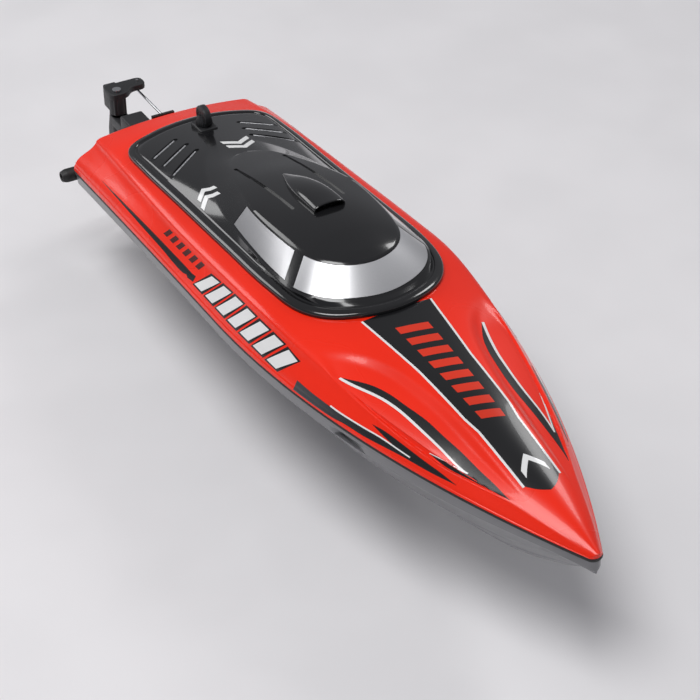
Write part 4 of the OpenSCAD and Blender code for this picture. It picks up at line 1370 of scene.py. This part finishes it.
@dataclass
class Graphics:
    """The printed shapes of the deck, each a thin film between two curves of (station, side) points."""

    deck: bpy.types.Object
    form: HullForm = field(default_factory=HullForm)
    lift: float = 0.09
    step: float = 0.05
    root: float = 0.4

    def film(self, name: str, rows: Sequence[Sequence[tuple[float, float]]], finish: Finish, level: int = 0) -> None:
        """Lay a film over a grid of (station, side) points.

        Args:
            name: the film's name.
            rows: rows of points.
            finish: its ink.
            level: how many films lie under it.
        """
        outer: list[list[Vector]] = []
        inner: list[list[Vector]] = []
        for row in rows:
            points = [self.deck.closest_point_on_mesh(place(self.form.deck(x, s)))[1:3] for x, s in row]
            outer.append([p + n * (self.lift + self.step * level) * MM for p, n in points])
            inner.append([p - n * self.root * MM for p, n in points])
        MAKER.finish(MAKER.plate(name, outer, inner), finish, "hull", "deck_red")

    def between(
        self,
        name: str,
        a: Table,
        b: Table,
        ends: tuple[float, float],
        finish: Finish,
        level: int = 0,
        across: int = 8,
    ) -> None:
        """Lay a film between two curves from one station to another.

        Args:
            name: the film's name.
            a: one curve, of station and side.
            b: the other curve.
            ends: the first and the last station.
            finish: its ink.
            level: how many films lie under it.
            across: the cells from curve to curve.
        """
        count = max(6, int((ends[1] - ends[0]) / 1.2))
        rows = []
        for k in range(count + 1):
            x = lerp(ends[0], ends[1], k / count)
            s0, s1 = (look(t, x, 1) if len(t) < 30 else straight(t, x) for t in (a, b))
            rows.append([(x, lerp(s0, s1, j / across)) for j in range(across + 1)])
        self.film(name, rows, finish, level)

    def patch(self, name: str, corners: Table, finish: Finish, level: int = 0, steps: int = 10) -> None:
        """Lay a four-cornered film.

        Args:
            name: the film's name.
            corners: its corners, as station and side.
            finish: its ink.
            level: how many films lie under it.
            steps: the cells along each side.
        """
        a, b, c, d = corners
        rows = [
            [tuple(lerp(lerp(a[k], b[k], i / steps), lerp(d[k], c[k], i / steps), j / steps) for k in (0, 1))
             for j in range(steps + 1)]
            for i in range(steps + 1)
        ]
        self.film(name, rows, finish, level)

    def side_of(self, x: float, y: float) -> float:
        """Return the side value of a point of the crown, from its offset in millimetres."""
        return y / look(self.form.deck_lines, x, 2) / 2

    def swoosh(self, side: int) -> None:
        """Lay the foredeck's black swoosh and its white edges on one side.

        Args:
            side: 1 for port and -1 for starboard.
        """
        outer = ((276, -0.47), (288, -0.40), (298, -0.37), (309, -0.36), (321, -0.35), (334, -0.36), (346, -0.37),
                 (358, -0.40), (368, -0.43), (378, -0.48))
        inner = ((276, -0.47), (284, -0.45), (298, -0.41), (309, -0.40), (322, -0.41), (336, -0.43), (344, -0.45),
                 (352, -0.47), (355, -0.47))
        barb = ((335, -0.56), (343, -0.52), (349, -0.5), (355, -0.485))
        under = ((335, -0.56), (345, -0.59), (352, -0.57), (358, -0.54), (368, -0.51), (378, -0.48))
        if side > 0:
            outer = ((275, -0.37), (288, -0.31), (302, -0.29), (323, -0.30), (344, -0.37), (369, -0.49))
            inner = ((275, -0.37), (288, -0.345), (302, -0.335), (323, -0.36), (344, -0.435), (351, -0.46))
            barb = ((326, -0.51), (340, -0.49), (351, -0.475))
            under = ((326, -0.51), (338, -0.56), (351, -0.555), (369, -0.49))
            outer, inner, barb, under = (tuple((x, -s) for x, s in t) for t in (outer, inner, barb, under))
        tip, tail, root = inner[-1][0], outer[-1][0], barb[0][0]
        name = "Port" if side > 0 else "Starboard"
        self.between(f"{name} swoosh", outer, inner, (outer[0][0], tip), BLACK_INK)
        self.between(f"{name} swoosh tip", outer, under, (tip, tail), BLACK_INK)
        self.between(f"{name} swoosh barb", barb, under, (root, tip), BLACK_INK)
        shift = 0.016 * side
        for label, edge, ends in (("line", inner, (outer[0][0], tip)), ("barb line", barb, (root, tip))):
            sign = 1 if label == "line" else -1
            moved = tuple((x, s + sign * shift) for x, s in edge)
            self.between(f"{name} swoosh {label}", edge, moved, ends, WHITE_INK, 1, 2)

    def flank(self, side: int) -> None:
        """Lay the shapes of one side of the deck: stripes, blades and slanted bars.

        Args:
            side: 1 for port and -1 for starboard.
        """
        name = "Port" if side > 0 else "Starboard"

        def at(*points: tuple[float, float]) -> Table:
            """Return points given for starboard, on this side."""
            return tuple((x, -s * side) for x, s in points)

        upper = at((257, -.84), (268, -.85), (278, -.85), (288, -.85), (302, -.83), (313, -.81), (325, -.82),
                   (332, -.825), (355, -.81))
        lower = at((256, -.97), (270, -.97), (284, -.96), (292, -.94), (304, -.93), (315, -.90), (326, -.87),
                   (343, -.85), (355, -.81))
        self.between(f"{name} stripe", upper, lower, (257, 355), FADE_INK)
        line = tuple((x, s - 0.022 * side) for x, s in upper)
        self.between(f"{name} stripe line", upper, line, (281, 330), WHITE_INK, 2, 2)
        top = at((305, -.71), (313, -.69), (326, -.71), (338, -.74), (346, -.76), (355, -.81))
        under = at((305, -.71), (312, -.75), (321, -.80), (327, -.825), (355, -.815))
        self.between(f"{name} blade", top, under, (305, 355), BLACK_INK, 1)
        top = at((34, -.82), (68, -.803), (107, -.78), (140, -.775), (153, -.78))
        under = at((34, -.82), (74, -.835), (117, -.845), (144, -.86), (153, -.80))
        self.between(f"{name} rear blade", top, under, (34, 153), BLACK_INK)
        high = at((160, -.64), (191, -.60), (219, -.61), (241, -.62), (254, -.67))
        low = at((160, -.85), (190, -.86), (215, -.87), (242, -.90), (254, -.93))
        for k in range(7):
            x0, lean, wide = 163 + 12.6 * k, 5.0, 8.2
            for level, edge, ink in ((0, 1.5, BLACK_INK), (1, 0.0, WHITE_INK)):
                trim = edge * 0.014 * side
                h, b = x0 + lean, x0 - lean
                corners = (
                    (h - edge, look(high, h, 1) - trim), (h + wide + edge, look(high, h + wide, 1) - trim),
                    (b + wide + edge, look(low, b + wide, 1) + trim), (b - edge, look(low, b, 1) + trim),
                )
                self.patch(f"{name} bar {k} {level}", corners, ink, level)
        self.patch(f"{name} wedge", at((144, -.80), (156, -.77), (156, -.845), (150, -.86)), BLACK_INK)
        for k in range(6):
            x0 = 113 + 7.8 * k
            corners = at((x0 + 2, -.59), (x0 + 6.4, -.59), (x0 + 3.4, -.69), (x0 - 1, -.69))
            self.patch(f"{name} small bar {k}", corners, DARK_RED_INK, 0, 5)

    def centre(self) -> None:
        """Lay the long centre stripe with its white edges, red bars and pale chevron."""
        widths = ((252, 18.9), (261, 17.8), (297, 13.6), (333, 11.6), (342, 10.1), (377, 9.1), (382, 4.5), (384, 0.3))

        def edge(extra: float) -> Table:
            """Return the stripe's port edge, moved out by extra millimetres."""
            xs = [252 + 2 * k for k in range(62)] + [376.0, 377.0, 379.0, 381.0, 382.5, 384.0]
            return tuple((x, self.side_of(x, straight(widths, x) + extra)) for x in sorted(set(xs)))

        inside, outside = edge(0.0), edge(1.1)
        self.between("Centre stripe", inside, tuple((x, -s) for x, s in inside), (253, 384), BLACK_INK, 0, 16)
        for side in (-1, 1):
            a, b = (tuple((x, side * s) for x, s in t) for t in (inside, outside))
            self.between(f"Centre line {side}", a, b, (253, 377), WHITE_INK, 1, 2)
        for k in range(8):
            x0 = 267 + 9.4 * k
            half = 8.2 - 0.35 * k
            lean = 1.6
            corners = ((x0 - lean, self.side_of(x0, -half)), (x0 + 5.2 - lean, self.side_of(x0, -half)),
                       (x0 + 5.2 + lean, self.side_of(x0, half)), (x0 + lean, self.side_of(x0, half)))
            self.patch(f"Centre bar {k}", corners, RED_INK, 1, 6)
        for side in (-1, 1):
            corners = ((362, 0.0), (366, 0.0), (374, self.side_of(374, 6.2 * side)),
                       (369.5, self.side_of(369.5, 6.2 * side)))
            self.patch(f"Centre chevron {side}", corners, WHITE_INK, 1, 6)

    def build(self) -> None:
        """Lay every shape on both sides."""
        for side in (-1, 1):
            self.swoosh(side)
            self.flank(side)
        self.centre()


# --------------------------------------------------------------------------- latch, steering and drive


@dataclass
class Latch:
    """The canopy's quarter-turn latch: its block and its finned knob."""

    x: float = 44.0
    top: float = 79.4

    def build(self) -> None:
        """Build the block and the knob."""
        x, z = self.x, self.top
        base = MAKER.block("Latch base", (x - 6.5, -5.5, 76.2), (x + 6.5, 5.5, z), 0.8)
        stem = MAKER.barrel("Stem", (x, 0, 74.4), (0, 0, 1), ((0, 3.2), (2.4, 3.2)))
        MAKER.finish(MAKER.join("Latch base", [base, stem]), SATIN_BLACK, "canopy", "trim_black", ["latch_base"])
        rings = []
        for h, r, depth in ((0.3, 4.4, 0.25), (0.6, 4.75, 0.35), (2.4, 4.75, 0.35), (2.9, 4.5, 0.3), (4.3, 3.9, 0.12),
                            (6.2, 3.2, 0.0)):
            rings.append([
                place((x + (r - depth * (k % 4 < 2)) * math.cos(math.tau * k / 96),
                       (r - depth * (k % 4 < 2)) * math.sin(math.tau * k / 96), z + h))
                for k in range(96)
            ])
        skirt = MAKER.loft("Skirt", rings)
        outline = [(-6.2, 2.8), (6.2, 2.8)]
        outline += [(6.4 * math.cos(math.pi * k / 24), 5.6 + 5.8 * math.sin(math.pi * k / 24)) for k in range(25)]
        fin = MAKER.slab("Fin", [(x + u, z + h) for u, h in outline], -2.0, 2.0)
        MAKER.apply(fin, "BEVEL", width=0.0006, segments=3, limit_method="ANGLE")
        ribs = [MAKER.block("Rib", (x + u - 0.35, -2.25, z + 2.9), (x + u + 0.35, 2.25, z + 8.6), 0.12, 2)
                for u in (-4.2, -2.1, 0.0, 2.1, 4.2)]
        shaft = MAKER.barrel("Shaft", (x, 0, z - 10.6), (0, 0, 1), ((0, 2), (11, 2)))
        MAKER.finish(MAKER.join("Latch knob", [skirt, fin, shaft, *ribs]), SATIN_BLACK, "latch", "trim_black",
                     ["latch_knob"])


@dataclass
class Steering:
    """The rudder with its horn plate, the bracket on the transom and the outlet pipe."""

    x: float = -36.0
    y: float = -19.0

    def rounded(self, points: Sequence[tuple[float, float]], radius: float) -> list[tuple[float, float]]:
        """Return an outline with its corners rounded.

        Args:
            points: the outline's corners.
            radius: the corners' radius.

        Returns:
            The rounded outline.
        """
        out: list[tuple[float, float]] = []
        n = len(points)
        for k in range(n):
            p, a, b = (Vector(points[i % n]) for i in (k, k - 1, k + 1))
            r = min(radius, (p - a).length * 0.45, (p - b).length * 0.45)
            s, e = p + (a - p).normalized() * r, p + (b - p).normalized() * r
            for t in (0.0, 0.25, 0.5, 0.75, 1.0):
                q = s * (1 - t) ** 2 + p * 2 * t * (1 - t) + e * t * t
                out.append((q.x, q.y))
        return out

    def rudder(self) -> None:
        """Build the blade with thinned edges, its hub and the bent horn plate."""
        x, y = self.x, self.y
        outline = self.rounded(
            [(x - 10, 67.4), (x - 5.6, 67.4), (x - 5.6, 19.6), (x + 5, 19.6), (x + 4.5, 2), (x + 1, -21),
             (x - 11, -21), (x - 14, -8), (x - 14, 36), (x - 10, 50)], 2.2)
        blade = MAKER.slab("Blade", outline, y - 1.9, y + 1.9)
        MAKER.apply(blade, "BEVEL", width=0.0009, segments=3, limit_method="ANGLE", angle_limit=math.radians(50))
        hub = MAKER.barrel("Hub", (x, y, 26.3), (0, 0, 1), ((0, 3.9), (0.5, 4.4), (18.9, 4.4), (19.4, 3.9)))
        neck = MAKER.barrel("Neck", (x, y, 53.3), (0, 0, 1), ((0, 4.5), (0.5, 5), (13.0, 5), (13.6, 4.7)))
        plate = self.rounded(
            [(x - 10, y - 5.4), (x + 4.8, y - 5.4), (x + 4.8, y + 5.2), (x - 0.6, y + 9.5), (x - 0.2, y + 19.5),
             (x - 10, y + 19.5)], 4.2)
        top = MAKER.slab("Horn", plate, 63.8, 67.6, "Z")
        MAKER.apply(top, "BEVEL", width=0.0006, segments=3, limit_method="ANGLE", angle_limit=math.radians(50))
        rib = MAKER.block("Rib", (x - 12, y - 4, 53.3), (x + 4.4, y + 4, 67.4), 0.9)
        web = MAKER.block("Web", (x - 7, y - 1.9, 26.3), (x - 1, y + 1.9, 45.7), 0.4)
        piece = MAKER.join("Rudder", [blade, hub, neck, top, rib, web])
        MAKER.finish(piece, MATT_BLACK, "rudder", "trim_black", ["rudder_blade"])

    def bracket(self) -> None:
        """Build the transom plate, its arm and its two knuckles."""
        x, y = self.x, self.y
        pieces = [
            MAKER.block("Plate", (-3, y - 8, 8), (0, y + 8, 57), 0.7),
            MAKER.block("Arm", (-28, y - 2.5, 20.1), (-2.5, y + 2.5, 51.9), 0.5),
            MAKER.block("Head", (-17, y - 7, 46), (-2.5, y + 7, 62), 1.0),
        ]
        for z in (20.0, 46.0):
            rings = ((0, 4.6), (0.4, 5.0), (5.6, 5.0), (6.0, 4.6))
            pieces.append(MAKER.barrel("Knuckle", (x, y, z), (0, 0, 1), rings))
            pieces.append(MAKER.block("Ear", (x, y - 5, z), (-2.5, y + 5, z + 6), 0.5))
        for z in (25.0, 33.0, 41.0):
            pieces.append(MAKER.block("Rib", (-24, y - 3.4, z), (-2.6, y + 3.4, z + 1.2), 0.25))
        piece = MAKER.join("Rudder bracket", pieces)
        MAKER.finish(piece, MATT_BLACK, "hull", "trim_black", ["rudder_bracket"])

    def outlet(self) -> None:
        """Build the rubber pipe at the starboard corner as a hose with a hollow end."""
        rings = ((-3, 3.4), (-2.5, 4.0), (1.0, 4.0), (1.2, 3.8), (1.8, 3.8), (2.0, 4.0), (14.6, 4.0), (15.4, 3.9),
                 (17.0, 3.4), (18.0, 2.9), (18.0, 2.0), (17.6, 2.0), (4.0, 2.0))
        pipe = MAKER.barrel("Pipe", (-5, -52, 40), (0, -1, 0), rings, 64)
        flange = MAKER.barrel("Flange", (-3, -52, 40), (1, 0, 0), ((0, 4.6), (0.4, 5.0), (2.6, 5.0), (2.9, 4.8),
                                                                  (2.9, 3.0), (8.5, 3.0)))
        MAKER.finish(MAKER.join("Cooling outlet", [pipe, flange]), RUBBER, "hull", "trim_black", ["cooling_outlet"])

    def build(self) -> None:
        """Build the steering's visible parts."""
        self.rudder()
        self.bracket()
        self.outlet()


@dataclass
class Drive:
    """The three-bladed propeller on its sloped shaft."""

    x: float = -26.0
    slope: float = 0.15
    radius: float = 16.0

    def build(self) -> None:
        """Build the hub and three twisted blades."""
        axis = Vector((1.0, 0.0, self.slope)).normalized()
        side = Vector((0, 1, 0))
        up = axis.cross(side)
        base = Vector((self.x, 0.0, -5.0))
        hub = MAKER.barrel("Hub", tuple(base - axis * 6), tuple(axis),
                           ((0, 3.2), (0.6, 3.8), (1.4, 4.0), (10.6, 4.0), (11.5, 3.7), (12, 3.2)))
        pieces = [hub]
        for k in range(3):
            a = math.tau * k / 3
            out = side * math.cos(a) + up * math.sin(a)
            turn = axis.cross(out)
            rings = []
            for i in range(11):
                t = i / 10
                r = lerp(2.6, self.radius - 0.2, t)
                pitch = math.radians(lerp(58, 30, t))
                swell = math.sqrt(max(1 - (2 * (t - 0.45)) ** 2 * 0.72, 0.04))
                chord = 8.6 * swell * (1 - 0.8 * max(t - 0.86, 0) / 0.14)
                ring = []
                for m in range(16):
                    b = math.tau * m / 16
                    u, w = 0.5 * chord * math.cos(b), 0.42 * (1.25 - t) * math.sin(b)
                    along = axis * (u * math.sin(pitch) + w * math.cos(pitch))
                    sweep = turn * (u * math.cos(pitch) - w * math.sin(pitch))
                    drop = -(u * math.cos(pitch)) ** 2 / (2 * max(r, 5))
                    ring.append(place(base + out * (r + drop) + along + sweep))
                rings.append(ring)
            pieces.append(MAKER.loft(f"Blade {k}", rings))
        MAKER.finish(MAKER.join("Propeller", pieces), SATIN_BLACK, "propeller", "trim_black", ["propeller"])


@dataclass
class Power:
    """The battery pack of side-by-side cells in its sleeve."""

    low: Point = (200.0, -20.0, 15.2)
    size: Point = (84.0, 40.0, 21.0)

    def build(self) -> None:
        """Build the pack with a soft bulge over each of its four cells."""
        x0, y0, z0 = self.low
        length, width, height = self.size
        top = []
        for k in range(65):
            t = k / 64
            swell = abs(math.sin(math.pi * 4 * t)) ** 0.6
            top.append((x0 + length * t, swell))
        outline = [(x, z0 + 1.4 - 1.4 * s) for x, s in top]
        outline += [(x, z0 + height - 1.4 + 1.4 * s) for x, s in reversed(top)]
        pack = MAKER.slab("Battery pack", outline, y0, y0 + width)
        MAKER.apply(pack, "BEVEL", width=0.0012, segments=3, limit_method="ANGLE", angle_limit=math.radians(60))
        MAKER.finish(pack, PACK, "hull", "pack_blue", ["battery_pack"])


@dataclass
class Carried:
    """The CAD nodes that are shown as they are, each with its finish."""

    finishes: tuple[tuple[Finish, tuple[str, ...]], ...] = (
        (SATIN_BLACK, ("scoop_grille", "battery_tray", "board_case", "board_lid", "power_switch_body")),
        (STEEL, ("latch_tongue", "latch_screw", "latch_keeper", "rudder_bracket_screws", "servo_arm_screw",
                 "servo_screws", "strut_screws", "motor_screws", "water_contacts")),
        (BRIGHT, ("rudder_pin", "steering_rod", "drive_shaft", "motor_shaft")),
        (RUBBER, ("rod_boot",)),
        (NYLON, ("servo_arm",)),
        (SERVO_BLUE, ("servo_case",)),
        (PLYWOOD, ("servo_tray", "board_tray")),
        (BRASS, ("propeller_nut", "stuffing_tube")),
        (ALUMINIUM, ("shaft_coupler", "shaft_strut", "motor_can", "motor_mount", "water_pickup")),
        (JACKET, ("cooling_jacket",)),
        (HOSE, ("cooling_hose_in", "cooling_hose_out")),
        (STRAP, ("battery_strap",)),
        (LEAD, ("battery_lead",)),
        (BOARD, ("control_board",)),
        (BUTTON, ("power_button",)),
        (FOAM, ("bow_foam",)),
    )

    def build(self, nodes: dict[str, bpy.types.Object]) -> None:
        """Dress each node in place.

        Args:
            nodes: the frame's nodes by name.
        """
        for finish, names in self.finishes:
            for name in names:
                slots = nodes[name].data.materials
                slots.clear()
                slots.append(finish.material())
                log.info("%s keeps its shape", name)


# --------------------------------------------------------------------------- studio


@dataclass
class Lamp:
    """One soft area light."""

    name: str
    at: Point
    size: float
    power: float
    colour: Colour = (1.0, 1.0, 1.0)

    def build(self) -> None:
        """Place the light, aimed at the boat."""
        data = bpy.data.lights.new(self.name, "AREA")
        data.shape, data.size = "DISK", self.size
        data.energy, data.color = self.power, self.colour
        obj = bpy.data.objects.new(self.name, data)
        obj.location = self.at
        obj.rotation_euler = (Vector((0.06, 0, 0.05)) - Vector(self.at)).to_track_quat("-Z", "Y").to_euler()
        bpy.context.scene.collection.objects.link(obj)


@dataclass
class Studio:
    """A pale floor, soft lights and the camera."""

    eye: Point = (0.7078, -0.3717, 0.5850)
    azimuth: float = 60.6
    elevation: float = 34.84
    roll: float = -0.29
    width: float = 700.0
    focal: float = 1800.3
    aim: tuple[float, float] = (14.66, -63.28)
    sensor: float = 36.0
    floor_z: float = -0.0225
    lamps: tuple[Lamp, ...] = (
        Lamp("Key", (0.25, -0.6, 1.7), 1.0, 19.5),
        Lamp("Left", (-1.3, -0.7, 1.0), 0.9, 6.5),
        Lamp("Back", (-0.5, 1.5, 1.5), 0.6, 6.0),
    )

    def floor(self) -> None:
        """Add the floor as a wide plane."""
        bpy.ops.object.select_all(action="DESELECT")
        bpy.ops.mesh.primitive_plane_add(size=12, location=(0, 0, self.floor_z))
        obj = MAKER.settle("Floor")
        obj.data.materials.append(FLOOR.material())

    def world(self) -> None:
        """Light the scene with an even pale sky."""
        world = bpy.data.worlds.new("Sky")
        world.use_nodes = True
        back = world.node_tree.nodes["Background"]
        back.inputs["Color"].default_value = (0.86, 0.87, 0.92, 1.0)
        back.inputs["Strength"].default_value = 0.27
        bpy.context.scene.world = world

    def camera(self) -> None:
        """Place the camera at its measured viewpoint."""
        a, e, r = (math.radians(v) for v in (self.azimuth, self.elevation, self.roll))
        right = Vector((math.cos(a), math.sin(a), 0.0))
        back = Vector((math.sin(a) * math.cos(e), -math.cos(a) * math.cos(e), math.sin(e)))
        up = back.cross(right)
        right, up = right * math.cos(r) + up * math.sin(r), up * math.cos(r) - right * math.sin(r)
        way = -back + right * (self.aim[0] / self.focal) + up * (self.aim[1] / self.focal)
        back = -way.normalized()
        right = up.cross(back).normalized()
        up = back.cross(right)
        data = bpy.data.cameras.new("Camera")
        data.sensor_width, data.lens = self.sensor, self.focal * self.sensor / self.width
        data.clip_start = 0.01
        obj = bpy.data.objects.new("Camera", data)
        obj.matrix_world = Matrix.Translation(self.eye) @ Matrix((right, up, back)).transposed().to_4x4()
        bpy.context.scene.collection.objects.link(obj)
        bpy.context.scene.camera = obj

    def build(self) -> None:
        """Build the floor, sky, lights and camera."""
        bpy.context.scene.view_settings.view_transform = "Standard"
        self.floor()
        self.world()
        for lamp in self.lamps:
            lamp.build()
        self.camera()


def main() -> None:
    """Build the boat's looks in order."""
    logging.basicConfig(level=logging.INFO, format="%(name)s: %(message)s")
    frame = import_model()
    shells = Shells()
    deck = shells.deck()
    for build in (shells.hull, shells.gasket, shells.seal):
        build()
    Canopy().build()
    Graphics(deck).build()
    for piece in (Latch(), Steering(), Drive(), Power()):
        piece.build()
    Carried().build(frame["nodes"])
    Studio().build()


if __name__ == "__main__":
    main()
